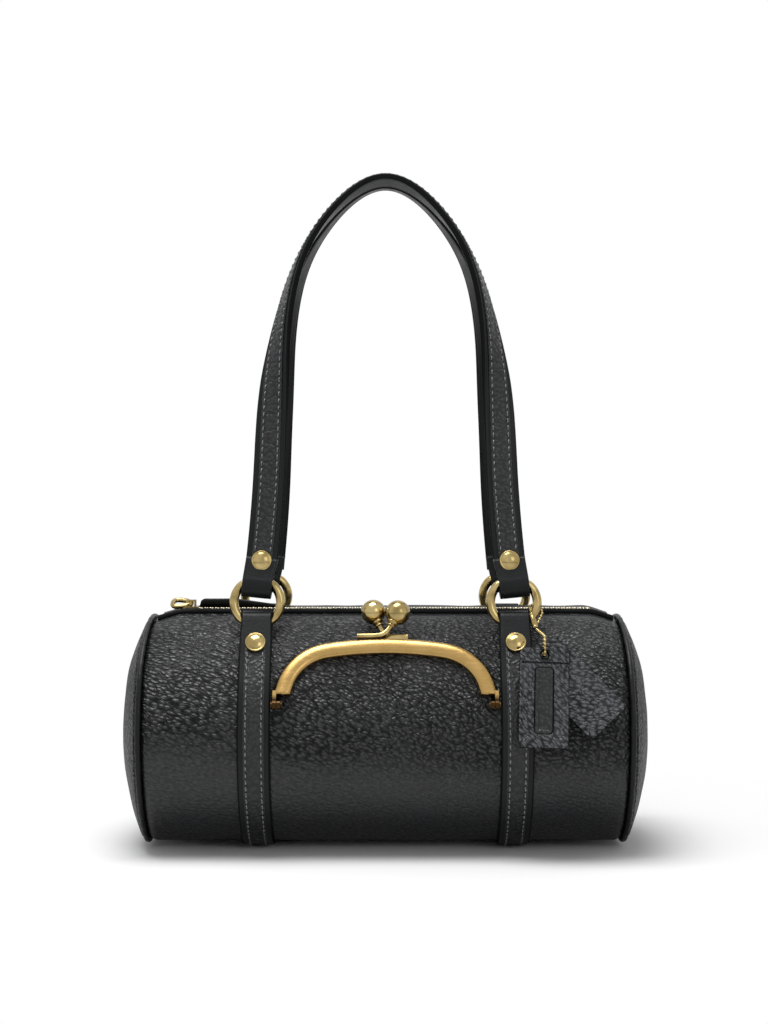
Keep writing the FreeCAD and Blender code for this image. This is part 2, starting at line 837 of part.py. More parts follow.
def handle_twist(share):
    """The strap's turn at a share of the rise, in radians."""
    table = handle_twist_shares
    if share <= table[0][0]:
        return math.radians(table[0][1])
    for (low, from_turn), (high, to_turn) in zip(table, table[1:]):
        if share <= high:
            return math.radians(from_turn + (to_turn - from_turn) * (share - low) / (high - low))
    return math.radians(table[-1][1])


def handle_frame(curve, along):
    """The middle point, width direction and outward direction of the strap at a parameter."""
    point = curve.value(along)
    tangent = vec(*curve.tangent(along)[0])
    up = (point - on_handle_plane(point.x, 0)).dot(handle_up())
    twist = handle_twist((up - handle_foot) / (handle_rise - handle_foot))
    front = handle_up().cross(vec(1, 0, 0)) * -1
    flat = tangent.cross(front)
    width = flat * math.cos(twist) + front * math.sin(twist)
    out = width.cross(tangent)
    return point, width, out


def handle_stations(curve, start, end):
    """Parameters along the handle between two ends, on one grid that all its layers share."""
    first = curve.FirstParameter
    step = (curve.LastParameter - first) / handle_sections
    grid = [first + step * index for index in range(handle_sections + 1)]
    inner = [along for along in grid if start + step / 2 < along < end - step / 2]
    return [start] + inner + [end]


def strap_loft(curve, start, end, width, low, high):
    """A flat strap along the handle between two parameters, and two levels above its middle."""
    rows = []
    for along in handle_stations(curve, start, end):
        point, across, out = handle_frame(curve, along)
        rows.append([
            point + across * (width / 2) + out * low,
            point + across * (width / 2) + out * high,
            point - across * (width / 2) + out * high,
            point - across * (width / 2) + out * low,
        ])
    faces = [Part.Face(Part.makePolygon(row + [row[0]])) for row in (rows[0], rows[-1])]
    for here, there in zip(rows, rows[1:]):
        for side in range(len(here)):
            after = (side + 1) % len(here)
            faces.append(Part.makeRuledSurface(
                Part.makeLine(here[side], here[after]), Part.makeLine(there[side], there[after])))
    shell = Part.makeShell(faces)
    shell.sewShape()
    solid = Part.makeSolid(shell)
    if solid.Volume < 0:
        solid.reverse()
    return solid


def handle_at(curve, up):
    """The parameter on the left side where the handle reaches a height above the lower bars."""
    low = curve.FirstParameter
    high = (curve.FirstParameter + curve.LastParameter) / 2
    base = on_handle_plane(0, 0)
    for step in range(handle_sections):
        middle = (low + high) / 2
        if (curve.value(middle) - base).dot(handle_up()) < up:
            low = middle
        else:
            high = middle
    return low


handle_rivet_up = handle_foot + rivet_from_loop
handle_root_up = handle_foot + loop_outer - handle_root_overlap


def handle_rivet_axis():
    """The middle and the outward direction of the left rivet on the front handle."""
    curve = handle_curve()
    point, across, out = handle_frame(curve, handle_at(curve, handle_rivet_up))
    return point, out


def handle_rivet_holes():
    point, out = handle_rivet_axis()
    hole = rod(point - out * overrun / 2, point + out * overrun / 2, rivet_shaft_radius + hole_clearance)
    return [hole, mirrored_x(hole)]


def front_handle_strap():
    """The twisted strap with a fold round the upper bar of each ring."""
    curve = handle_curve()
    start = handle_at(curve, handle_root_up)
    end = curve.FirstParameter + curve.LastParameter - start
    half = handle_thickness / 2
    strap = strap_loft(curve, start, end, strap_width, -half, half)
    centre = on_handle_plane(strap_x, handle_foot)
    fold = rod(centre - vec(loop_width / 2, 0, 0), centre + vec(loop_width / 2, 0, 0), loop_outer)
    bore = rod(centre - vec(loop_width, 0, 0), centre + vec(loop_width, 0, 0), loop_bore)
    whole = fuse([strap, fold, mirrored_x(fold)])
    return whole.cut([bore, mirrored_x(bore)] + handle_rivet_holes())


def front_handle_overlay():
    curve = handle_curve()
    start = handle_at(curve, handle_rivet_up - overlay_start)
    end = curve.FirstParameter + curve.LastParameter - start
    low = handle_thickness / 2 + lay_gap
    strip = strap_loft(curve, start, end, overlay_width, low, low + overlay_thickness)
    return strip.cut(handle_rivet_holes())


def front_handle_rivets():
    point, out = handle_rivet_axis()
    cap_from = handle_thickness / 2 + overlay_thickness + 3 * lay_gap
    one = rivet(point, out, cap_from, -handle_thickness / 2 - lay_gap)
    return Part.makeCompound([one, mirrored_x(one)])


# Tags and chain
def tag_point(out, up):
    """A point in front of the barrel, measured along the tags' normal and up their plane."""
    lean = math.radians(tag_lean)
    normal = vec(0, -math.cos(lean), math.sin(lean))
    rise = vec(0, math.sin(lean), math.cos(lean))
    return vec(tag_hole_x, 0, axis_z) + normal * out + rise * up


def tag(turn, back):
    """A leather tag with rounded corners that hangs from its hole, turned about it."""
    half = tag_width / 2
    plate = box(-half, half, tag_hole_inset - tag_length, tag_hole_inset, 0, tag_thickness)
    upright = [edge for edge in plate.Edges if abs(edge.tangentAt(edge.FirstParameter).z) > 0.5]
    plate = plate.makeFillet(tag_corner, upright)
    plate = plate.cut(Part.makeCylinder(tag_hole_radius, tag_thickness + 2 * overrun, vec(0, 0, -overrun)))
    plate.rotate(vec(0, 0, 0), vec(0, 0, 1), turn)
    lean = math.radians(tag_lean)
    corner = tag_point(back, tag_rise)
    matrix = FreeCAD.Matrix(
        1, 0, 0, corner.x,
        0, math.sin(lean), -math.cos(lean), corner.y,
        0, math.cos(lean), math.sin(lean), corner.z,
        0, 0, 0, 1,
    )
    return plate.transformGeometry(matrix)


def chain_anchor():
    """The point of the right front ring that the chain hangs on."""
    across, up = ring_point(chain_ring_angle)
    return on_handle_plane(strap_x + across, ring_half_height + up)


def chain_path():
    """The closed route of the chain: over the ring, down, through the tags and back up."""
    anchor = chain_anchor()
    turn = math.radians(chain_ring_angle)
    along = vec(-math.sin(turn), 0, 0) + handle_up() * math.cos(turn)
    swung = FreeCAD.Rotation(vec(1, 0, 0), chain_turn_range).multVec(along)
    # The loop's plane lies midway between the ring's wire at rest and at the end of its swing
    normal = along + swung
    normal.normalize()
    hole = tag_point(tag_middle, tag_rise)
    down = hole - anchor
    down = down - normal * down.dot(normal)
    down.normalize()
    side = normal.cross(down)
    arc = []
    for step in range(chain_arc_steps + 1):
        angle = math.pi * step / chain_arc_steps
        arc.append(anchor + (side * math.cos(angle) - down * math.sin(angle)) * chain_loop_radius)
    clear = (front_tag_face - rear_tag_face) + chain_bead_radius + chain_tag_gap
    above_tags = tag_point(tag_middle + clear, tag_rise + chain_tag_rise)
    front_of_hole = tag_point(tag_middle + clear, tag_rise)
    back_of_hole = tag_point(tag_middle - clear, tag_rise)
    return arc + [above_tags, front_of_hole, back_of_hole]


def points_along(route, pitch):
    """Evenly spaced points along a closed route."""
    closed = route + [route[0]]
    lengths = [(b - a).Length for a, b in zip(closed, closed[1:])]
    count = round(sum(lengths) / pitch)
    step = sum(lengths) / count
    places = []
    for index in range(count):
        left = index * step
        for start, end, length in zip(closed, closed[1:], lengths):
            if left <= length:
                places.append(start + (end - start) * (left / length))
                break
            left -= length
    return places


def connector_ends():
    """The tubular connector sits on the strand that comes down in front of the strap's edge."""
    route = chain_path()
    start = route[chain_arc_steps]
    down = route[chain_arc_steps + 1] - start
    down.normalize()
    return start + down * connector_drop, start + down * (connector_drop + connector_length)


def chain_connector():
    start, end = connector_ends()
    return rod(start, end, connector_radius)


def tag_chain():
    """Beads strung on a wire; the connector takes the place of the beads inside it."""
    route = chain_path()
    beads = points_along(route, chain_pitch)
    solids = [Part.makeSphere(chain_bead_radius, bead) for bead in beads]
    solids += [rod(a, b, chain_wire_radius) for a, b in zip(beads, beads[1:] + beads[:1])]
    start, end = connector_ends()
    along = end - start
    along.normalize()
    room = rod(start - along * lay_gap, end + along * lay_gap, connector_radius + lay_gap)
    return fuse(solids).cut(room)


def export(name, shape):
    """Places a node over the origin and writes it."""
    placed = shape.copy()
    placed.translate(vec(0, footprint_shift, 0))
    placed.exportStep("parts/" + name + ".step")
    print(name, "solids", len(placed.Solids), "volume", round(placed.Volume, 1), "valid", placed.isValid())


def main():
    os.makedirs("parts", exist_ok=True)

    export("body_panel", body_panel())
    export("right_end_panel", right_end_panel())
    export("left_end_panel", mirrored_x(right_end_panel()))
    export("right_piping", right_piping())
    export("left_piping", mirrored_x(right_piping()))
    export("base_board", base_board())
    export("lining", lining())

    export("rear_zip_facing", rear_zip_facing())
    export("front_zip_facing", mirrored_y(rear_zip_facing()))
    export("rear_zip_tape", rear_zip_tape())
    export("front_zip_tape", mirrored_y(rear_zip_tape()))
    export("rear_zip_teeth", zip_teeth(1, teeth_start))
    export("front_zip_teeth", zip_teeth(-1, teeth_start + tooth_pitch / 2))
    export("zip_top_stops", zip_top_stops())
    export("zip_bottom_stop", zip_bottom_stop())
    export("zip_slider", zip_slider())
    export("zip_pull", zip_pull())

    export("coin_flap", coin_flap())
    export("coin_pouch", coin_pouch())
    export("kisslock_front_frame", kisslock_front_frame())
    export("kisslock_rear_frame", kisslock_rear_frame())
    export("kisslock_hinge_pins", kisslock_hinge_pins())
    export("front_clasp", front_clasp())
    export("rear_clasp", rear_clasp())

    for name, x in (("left", -strap_x), ("right", strap_x)):
        export(name + "_body_strap", body_strap(x))
        export(name + "_strap_overlay", strap_overlay(x))
        export("front_" + name + "_ring", front_ring(x))
        export("rear_" + name + "_ring", mirrored_y(front_ring(x)))
    export("strap_rivets", strap_rivets())

    export("front_handle_strap", front_handle_strap())
    export("rear_handle_strap", mirrored_y(front_handle_strap()))
    export("front_handle_overlay", front_handle_overlay())
    export("rear_handle_overlay", mirrored_y(front_handle_overlay()))
    export("front_handle_rivets", front_handle_rivets())
    export("rear_handle_rivets", mirrored_y(front_handle_rivets()))

    export("tag_chain", tag_chain())
    export("chain_connector", chain_connector())
    export("front_tag", tag(front_tag_turn, front_tag_back))
    export("rear_tag", tag(rear_tag_turn, tag_back))

    print("shift", footprint_shift, "axis z", axis_z, "ring axis", loop_reach, loop_z)
    print("kiss-lock hinge", hinge_y, hinge_z, "lean", frame_lean, "handle lean", handle_lean)
    print("chain anchor", chain_anchor(), "tag hole", tag_point(tag_middle, tag_rise))


main()
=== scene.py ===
"""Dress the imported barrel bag: leather, brass, thread, zip and lining, with its studio and camera."""

import logging
import math
from collections.abc import Callable
from dataclasses import dataclass, field
from enum import Enum
from functools import partial

import bmesh
import bpy
import numpy as np
from bpy.types import Material, Node, NodeSocket, NodeTree, Object
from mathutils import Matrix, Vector, noise
from numpy import ndarray


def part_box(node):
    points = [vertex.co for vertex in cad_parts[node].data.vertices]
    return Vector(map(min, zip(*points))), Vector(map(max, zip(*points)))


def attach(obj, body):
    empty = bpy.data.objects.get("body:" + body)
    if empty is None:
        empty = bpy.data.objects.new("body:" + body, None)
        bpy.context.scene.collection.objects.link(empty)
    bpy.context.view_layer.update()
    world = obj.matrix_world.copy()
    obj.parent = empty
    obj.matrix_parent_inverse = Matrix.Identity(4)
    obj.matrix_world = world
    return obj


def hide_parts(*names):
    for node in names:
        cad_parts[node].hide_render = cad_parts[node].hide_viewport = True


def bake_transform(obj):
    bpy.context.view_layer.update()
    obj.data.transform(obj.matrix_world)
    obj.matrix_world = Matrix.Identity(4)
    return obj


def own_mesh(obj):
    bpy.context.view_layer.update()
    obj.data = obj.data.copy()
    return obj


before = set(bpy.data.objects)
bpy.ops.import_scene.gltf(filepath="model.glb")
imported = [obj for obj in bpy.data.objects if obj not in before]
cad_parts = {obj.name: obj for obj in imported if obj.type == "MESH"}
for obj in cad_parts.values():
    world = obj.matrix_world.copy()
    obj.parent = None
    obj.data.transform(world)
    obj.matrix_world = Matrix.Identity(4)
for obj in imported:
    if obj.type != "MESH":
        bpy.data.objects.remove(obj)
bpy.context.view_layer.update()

log = logging.getLogger("barrel_bag")

MM = 0.001
GRAIN_MAP = "grain"
QUARTER_TURN = math.pi / 2
FULL_TURN = 2 * math.pi
X_AXIS = np.array([1.0, 0.0, 0.0])
MIRRORED = np.array([-1.0, 1.0])
BAG = "bag_body"


class Place(Enum):
    """A choice of place that is also part of the names of pieces."""

    @property
    def word(self) -> str:
        """The place as names of pieces have it."""
        return self.name.lower()


class Side(Place):
    """The two sides of a mirrored pair."""

    FRONT = 1.0
    REAR = -1.0


class End(Place):
    """The left and right of the bag as the camera sees it."""

    LEFT = -1.0
    RIGHT = 1.0


class Slot(Enum):
    """The record's material slots named for new pieces; carry takes them but does not use them."""

    LEATHER = "black_leather"
    BRASS = "satin_brass"
    LINING = "lining_fabric"
    TAPE = "zip_tape"


def linear_colour(text: str, alpha: float = 1.0) -> tuple[float, float, float, float]:
    """Turn an sRGB hex colour into linear values.

    Args:
        text: colour as "#rrggbb".
        alpha: the fourth value.

    Returns:
        Linear red, green, blue and alpha.
    """
    parts = [int(text[place:place + 2], 16) / 255 for place in (1, 3, 5)]
    red, green, blue = [p / 12.92 if p <= 0.04045 else ((p + 0.055) / 1.055) ** 2.4 for p in parts]
    return red, green, blue, alpha


def set_sockets(node: Node, sockets: dict) -> None:
    """Set a node's inputs.

    Args:
        node: the node.
        sockets: input name or number to a value, another node's output socket, or a node whose
            first working output is meant.
    """
    for name, value in sockets.items():
        if isinstance(value, Node):
            value = next(output for output in value.outputs if output.enabled)
        if isinstance(value, NodeSocket):
            node.id_data.links.new(value, node.inputs[name])
        else:
            node.inputs[name].default_value = value


def add_node(tree: NodeTree, kind: str, sockets: dict | None = None, **settings: object) -> Node:
    """Add a node with its settings, values and links.

    Args:
        tree: the node tree that takes it.
        kind: Blender's name for the node type, after the ShaderNode that it starts with.
        sockets: what set_sockets takes.
        settings: attributes of the node.

    Returns:
        The new node.
    """
    node = tree.nodes.new(f"ShaderNode{kind}")
    for name, value in settings.items():
        setattr(node, name, value)
    set_sockets(node, sockets or {})
    return node


def start_material(name: str) -> tuple[Material, Callable[..., Node], Node]:
    """Make a material.

    Args:
        name: its name.

    Returns:
        The material, add_node for its own tree, and its shader.
    """
    material = bpy.data.materials.new(name)
    material.use_nodes = True
    tree = material.node_tree
    return material, partial(add_node, tree), tree.nodes["Principled BSDF"]


def per_metre(size_mm: float) -> float:
    """How many repeats of a size in millimetres fit in a metre."""
    return 1.0 / (size_mm * MM)


def wave_scale(size_mm: float) -> float:
    """Scale of a wave texture whose bands are about a size in millimetres wide."""
    bands_in_unit = 6
    return per_metre(size_mm) / bands_in_unit


def ease(low: float, high: float, value: ndarray | float) -> ndarray:
    """A smooth step from 0 at low to 1 at high."""
    share = np.clip((np.asarray(value, float) - low) / (high - low), 0.0, 1.0)
    return share * share * (3 - 2 * share)


def unit(vectors: ndarray) -> ndarray:
    """Vectors scaled to length one along the last axis."""
    return vectors / np.linalg.norm(vectors, axis=-1, keepdims=True)


def ripple(points: ndarray, seed: float) -> ndarray:
    """Soft random values at points.

    Args:
        points: an array whose last axis holds two coordinates, in wavelengths.
        seed: which random sheet is read.

    Returns:
        Values from about -1 to 1, one for each point.
    """
    flat = points.reshape(-1, 2)
    values = [noise.noise(Vector((a, b, seed))) for a, b in flat]
    return np.array(values).reshape(points.shape[:-1])


def full_circle(count: int) -> ndarray:
    """Evenly spaced angles once round."""
    return np.linspace(0, FULL_TURN, count, endpoint=False)


def on_circle(turn: ndarray) -> ndarray:
    """Points of a circle of radius one at angles."""
    return np.stack([np.cos(turn), np.sin(turn)], axis=1)


def put_object(name: str, data: bpy.types.ID) -> Object:
    """Make an object and link it into the scene.

    Args:
        name: its name.
        data: its mesh, lamp or camera.

    Returns:
        The object.
    """
    made = bpy.data.objects.new(name, data)
    bpy.context.scene.collection.objects.link(made)
    return made


def squared_off(values: ndarray, power: float) -> ndarray:
    """Sines or cosines of a circle, pushed out towards a square by a power below one."""
    return np.sign(values) * np.abs(values) ** power


def leaning_ways(lean: float) -> tuple[ndarray, ndarray]:
    """The directions up a plane that leans back by an angle, and out of its front."""
    return (np.array([0.0, math.sin(lean), math.cos(lean)]), np.array([0.0, -math.cos(lean), math.sin(lean)]))


def cell_middles(values: ndarray) -> ndarray:
    """The middle value of each cell of a grid."""
    return (values[:-1, :-1] + values[1:, 1:]) / 2


def path_lengths(path: ndarray) -> ndarray:
    """The distance along a path at each of its points."""
    return np.concatenate([[0.0], np.cumsum(np.linalg.norm(np.diff(path, axis=0), axis=1))])


def closed_up(path: ndarray) -> ndarray:
    """A path with its first point again at its end."""
    return np.concatenate([path, path[:1]])


def closed_ways(path: ndarray) -> ndarray:
    """Unit vectors along a closed path at each of its points."""
    return unit(np.roll(path, -1, axis=0) - np.roll(path, 1, axis=0))


def read_along(places: ndarray | float, lengths: ndarray, data: ndarray) -> ndarray:
    """Points or directions of a path at distances along it."""
    return np.stack([np.interp(places, lengths, column) for column in data.T], axis=-1)


def grain_grid(around: ndarray, along: ndarray) -> ndarray:
    """Grain coordinates of a grid from those of its columns and rows."""
    return np.stack(np.broadcast_arrays(around[None, :], along[:, None]), axis=-1)


@dataclass(frozen=True)
class PebbledCowhide:
    """Drum tumbled cowhide: soft round pebbles between long creases, under a thin satin top coat.

    Tumbling gives the eye small bright rubbed tops and patches where the hide lies flatter; the dark hollows
    are painted shade, in a darker colour and a lower shine.
    """

    name: str = "tumbled_black_cowhide"
    colour: str = "#090a0b"
    second_colour: str = "#191a1c"
    pebble: float = 1.6
    pebble_stretch: float = 0.72
    crease: float = 4.2
    crease_stretch: float = 0.5
    crease_share: float = 0.5
    slant: float = math.radians(-32.0)
    pore: float = 1.2
    pore_height_share: float = 0.32
    pore_gloss_share: float = 1.6
    patch: float = 34.0
    wander: float = 9.0
    wander_reach: float = 4.0
    relief: float = 0.55
    # How far the shine drops in the hollows: painted shade.
    shade: float = 0.8
    calm_above: float = 100.0
    calm_below: float = 120.0
    calm_share: float = 0.3
    taut_from: float = 17.0
    taut_to: float = 27.0
    taut_share: float = 0.25
    half_round: float = 0.0
    roughness: float = 0.32
    hollow_roughness: float = 0.2
    shine: float = 0.6

    def build(self) -> Material:
        """Make the material: domed cells for pebbles, drawn-out cells for creases, pores, worn tops, and
        painted shade in the hollows.
        """
        material, add, shader = start_material(self.name)
        place = add("UVMap", uv_map=GRAIN_MAP)
        wander = add("TexNoise", {"Vector": place, "Scale": per_metre(self.wander), "Detail": 4.0})
        bent = add("VectorMath", {
            0: wander.outputs["Color"], 1: (self.wander_reach * MM,) * 3, 2: place}, operation="MULTIPLY_ADD")
        leant = add("VectorRotate", {"Vector": bent, "Angle": self.slant}, rotation_type="Z_AXIS")
        long = add("VectorMath", {0: leant, 1: (self.pebble_stretch, 1.0, 1.0)}, operation="MULTIPLY")
        cells = add("TexVoronoi", {
            "Vector": long, "Scale": per_metre(self.pebble), "Randomness": 0.9}, voronoi_dimensions="2D")
        pebble = add("MapRange", {
            "Value": cells, "From Min": 0.05, "From Max": 0.72, "To Min": 1.0, "To Max": 0.0},
            interpolation_type="SMOOTHSTEP")
        drawn = add("VectorMath", {0: leant, 1: (self.crease_stretch, 1.0, 1.0)}, operation="MULTIPLY")
        net = add("TexVoronoi", {"Vector": drawn, "Scale": per_metre(self.crease)},
                       voronoi_dimensions="2D", feature="DISTANCE_TO_EDGE")
        crease = add("MapRange", {
            "Value": net.outputs["Distance"], "From Max": 0.1, "To Min": 0.25},
            interpolation_type="SMOOTHSTEP")
        pore = add("TexNoise", {"Vector": place, "Scale": per_metre(self.pore), "Detail": 2.0})
        patch = add("TexNoise", {"Vector": place, "Scale": per_metre(self.patch), "Detail": 3.0})
        strength = add("MapRange", {"Value": patch, "From Min": 0.36, "From Max": 0.62, "To Min": 0.7})
        if self.half_round:
            strength = self.calm_by_height(add, place, strength)
        top = add("Math", {0: pebble, 1: crease}, operation="MULTIPLY")
        folds = add("Math", {0: crease, 1: self.crease_share, 2: top}, operation="MULTIPLY_ADD")
        raised = add("Math", {0: folds, 1: strength}, operation="MULTIPLY")
        height = add("Math", {0: pore, 1: self.pore_height_share, 2: raised}, operation="MULTIPLY_ADD")
        bump = add("Bump", {"Height": height, "Distance": self.relief * MM, "Strength": 1.0})
        # The hollows between pebble tops take the darker colour and a lower shine: painted shade in the
        # creases. The paler tops are rubbed.
        deep = add("Math", {0: 1.0, 1: top}, operation="SUBTRACT")
        shaded_hollow = add("Math", {0: deep, 1: strength}, operation="MULTIPLY")
        tint = add("Mix", {
            "Factor": shaded_hollow, "A": linear_colour(self.second_colour), "B": linear_colour(self.colour)},
            data_type="RGBA")
        gloss = add("MapRange", {
            "Value": shaded_hollow, "To Min": self.roughness, "To Max": self.roughness + self.hollow_roughness})
        pores_and_hollow_shade = add("Math", {0: pore, 1: self.pore_gloss_share, 2: shaded_hollow}, operation="MULTIPLY_ADD")
        shine = add("MapRange", {
            "Value": pores_and_hollow_shade, "From Min": 0.5, "From Max": 1.75, "To Min": self.shine,
            "To Max": self.shine * (1 - self.shade)})
        set_sockets(shader, {
            "Specular IOR Level": shine, "Base Color": tint, "Roughness": gloss, "Normal": bump})
        return material

    def calm_by_height(self, add: Callable[..., Node], place: Node, strength: Node) -> Node:
        """Calm the grain low on the barrel, where the weaker grain and its painted hollow shade stand in for
        the lower half lying out of the top light, and beside the zip, where the hide is pulled taut.

        Args:
            add: add_node for the material's tree.
            place: the grain coordinates, whose second one runs round the barrel.
            strength: how strong the grain is by itself.

        Returns:
            How strong it is in the end.
        """
        split = add("SeparateXYZ", {"Vector": place})
        depth = add("Math", {0: split.outputs["Y"], 1: self.half_round * MM}, operation="PINGPONG")
        # Lower on the barrel the grain fades: painted light, for the lower half lying out of the top light.
        calm = add("MapRange", {
            "Value": depth, "From Min": self.calm_above * MM, "From Max": self.calm_below * MM, "To Min": 1.0,
            "To Max": self.calm_share}, interpolation_type="SMOOTHSTEP")
        taut = add("MapRange", {
            "Value": depth, "From Min": self.taut_from * MM, "From Max": self.taut_to * MM,
            "To Min": self.taut_share}, interpolation_type="SMOOTHSTEP")
        both = add("Math", {0: calm, 1: taut}, operation="MULTIPLY")
        return add("Math", {0: both, 1: strength}, operation="MULTIPLY")


@dataclass(frozen=True)
class BurnishedCowhide:
    """Pressed and edge-burnished cowhide.

    Pressing leaves it nearly smooth: the eye sees faint grain and soft broad highlights.
    """

    name: str = "pressed_black_cowhide"
    colour: str = "#0d0e0f"
    second_colour: str = "#191b1c"
    grain: float = 1.3
    cloud: float = 14.0
    relief: float = 0.12
    roughness: float = 0.38
    smoother: float = 0.05
    rougher: float = 0.08
    shine: float = 0.17

    def build(self) -> Material:
        """Make the material: a faint fine grain and cloudy wear."""
        material, add, shader = start_material(self.name)
        place = add("UVMap", uv_map=GRAIN_MAP)
        grain = add("TexNoise", {"Vector": place, "Scale": per_metre(self.grain), "Detail": 3.0})
        cloud = add("TexNoise", {"Vector": place, "Scale": per_metre(self.cloud), "Detail": 2.0})
        bump = add("Bump", {"Height": grain, "Distance": self.relief * MM, "Strength": 1.0})
        tint = add("Mix", {
            "Factor": cloud, "A": linear_colour(self.colour), "B": linear_colour(self.second_colour)},
            data_type="RGBA")
        gloss = add("MapRange", {
            "Value": cloud, "From Min": 0.3, "From Max": 0.7, "To Min": self.roughness - self.smoother,
            "To Max": self.roughness + self.rougher})
        set_sockets(shader, {
            "Base Color": tint, "Roughness": gloss, "Normal": bump, "Specular IOR Level": self.shine})
        return material


@dataclass(frozen=True)
class PlatedBrass:
    """Cast or pressed brass, tumble polished and plated.

    Tumbling gives a warm satin with hairline handling marks; the hollows are painted darker, as painted shade.
    """

    name: str = "satin_polished_brass"
    colour: str = "#b8a470"
    shade_and_dull_colour: str = "#6e5a30"
    hairline: float = 1.1
    hairline_stretch: float = 0.12
    cloud: float = 7.0
    relief: float = 0.005
    roughness: float = 0.18
    smoother: float = 0.04
    rougher: float = 0.06
    darker_from: float = 0.0
    darker_to: float = 0.0
    second_colour: str = "#3b2b18"

    def build(self) -> Material:
        """Make the material: brushed hairlines, cloudy polish with dull blots, and painted shade in the
        hollows.
        """
        material, add, shader = start_material(self.name)
        place = add("TexCoord").outputs["Object"]
        drawn = add("VectorMath", {0: place, 1: (self.hairline_stretch, 1.0, 1.0)}, operation="MULTIPLY")
        lines = add("TexNoise", {"Vector": drawn, "Scale": per_metre(self.hairline), "Detail": 3.0})
        cloud = add("TexNoise", {"Vector": place, "Scale": per_metre(self.cloud), "Detail": 2.0})
        # Hollows and crevices, found by pointiness, take the darker colour: painted shade. The cloud adds
        # random dull blots.
        shaded_hollow = add("NewGeometry").outputs["Pointiness"]
        edge = add("MapRange", {"Value": shaded_hollow, "From Min": 0.42, "From Max": 0.5})
        blot = add("MapRange", {"Value": cloud, "From Min": 0.3, "From Max": 0.6, "To Min": 0.35})
        unshaded_and_clean = add("Math", {0: edge, 1: blot}, operation="MULTIPLY")
        tint = add("Mix", {
            "Factor": unshaded_and_clean, "A": linear_colour(self.shade_and_dull_colour), "B": linear_colour(self.colour)},
            data_type="RGBA")
        # Below a set height, at the frame's feet and hinge lugs, the colour turns darker brown.
        if self.darker_to:
            split = add("SeparateXYZ", {"Vector": place})
            below_height = add("MapRange", {
                "Value": split.outputs["Z"], "From Min": self.darker_from * MM, "From Max": self.darker_to * MM})
            tint = add("Mix", {
                "Factor": below_height, "A": linear_colour(self.second_colour), "B": tint}, data_type="RGBA")
        gloss = add("MapRange", {
            "Value": lines, "From Min": 0.3, "From Max": 0.7, "To Min": self.roughness - self.smoother,
            "To Max": self.roughness + self.rougher})
        bump = add("Bump", {"Height": lines, "Distance": self.relief * MM, "Strength": 1.0})
        set_sockets(shader, {"Base Color": tint, "Roughness": gloss, "Normal": bump, "Metallic": 1.0})
        return material


@dataclass(frozen=True)
class WaxedThread:
    """Waxed polyester thread: two plies laid in a slant show as fine stripes, greyer than the leather."""

    name: str = "waxed_grey_thread"
    colour: str = "#85878a"
    shade_colour: str = "#4b4d50"
    ply: float = 0.5
    roughness: float = 0.5

    def build(self) -> Material:
        """Make the material: slanted plies, drawn no finer than they can show."""
        material, add, shader = start_material(self.name)
        place = add("UVMap", uv_map=GRAIN_MAP)
        plies = add("TexWave", {
            "Vector": place, "Scale": wave_scale(self.ply), "Distortion": 1.0}, bands_direction="DIAGONAL")
        tint = add("Mix", {
            "Factor": plies.outputs["Fac"], "A": linear_colour(self.shade_colour),
            "B": linear_colour(self.colour)}, data_type="RGBA")
        set_sockets(shader, {"Base Color": tint, "Roughness": self.roughness})
        return material


@dataclass(frozen=True)
class WovenCloth:
    """Woven cotton: raised diagonal or square threads that catch light in a fine repeat."""

    name: str = "cotton_twill"
    colour: str = "#2a2a2c"
    shade_colour: str = "#161617"
    thread: float = 0.8
    bands: tuple = ("DIAGONAL", "X")
    relief: float = 0.12
    roughness: float = 0.8
    sheen: float = 0.2

    def build(self) -> Material:
        """Make the material: threads drawn coarser than the real ones, so that they show."""
        material, add, shader = start_material(self.name)
        place = add("UVMap", uv_map=GRAIN_MAP)
        warp, weft = [add("TexWave", {
            "Vector": place, "Scale": wave_scale(self.thread), "Distortion": 0.6}, bands_direction=band)
            for band in self.bands]
        weave = add("Math", {0: warp.outputs["Fac"], 1: weft.outputs["Fac"]}, operation="MULTIPLY")
        bump = add("Bump", {"Height": weave, "Distance": self.relief * MM, "Strength": 1.0})
        tint = add("Mix", {
            "Factor": weave, "A": linear_colour(self.shade_colour), "B": linear_colour(self.colour)},
            data_type="RGBA")
        set_sockets(shader, {
            "Base Color": tint, "Normal": bump, "Roughness": self.roughness, "Sheen Weight": self.sheen})
        return material


@dataclass(frozen=True)
class PressedBoard:
    """Calendered grey fibre board: matt, with short fibres and specks."""

    name: str = "pressed_fibre_board"
    colour: str = "#77716a"
    speck_colour: str = "#5c574f"
    fibre: float = 2.0
    fibre_stretch: float = 0.3
    roughness: float = 0.85

    def build(self) -> Material:
        """Make the material: specks stretched along the board."""
        material, add, shader = start_material(self.name)
        place = add("TexCoord").outputs["Object"]
        drawn = add("VectorMath", {0: place, 1: (self.fibre_stretch, 1.0, 1.0)}, operation="MULTIPLY")
        fibre = add("TexNoise", {"Vector": drawn, "Scale": per_metre(self.fibre), "Detail": 4.0})
        tint = add("Mix", {
            "Factor": fibre, "A": linear_colour(self.speck_colour), "B": linear_colour(self.colour)},
            data_type="RGBA")
        set_sockets(shader, {"Base Color": tint, "Roughness": self.roughness})
        return material


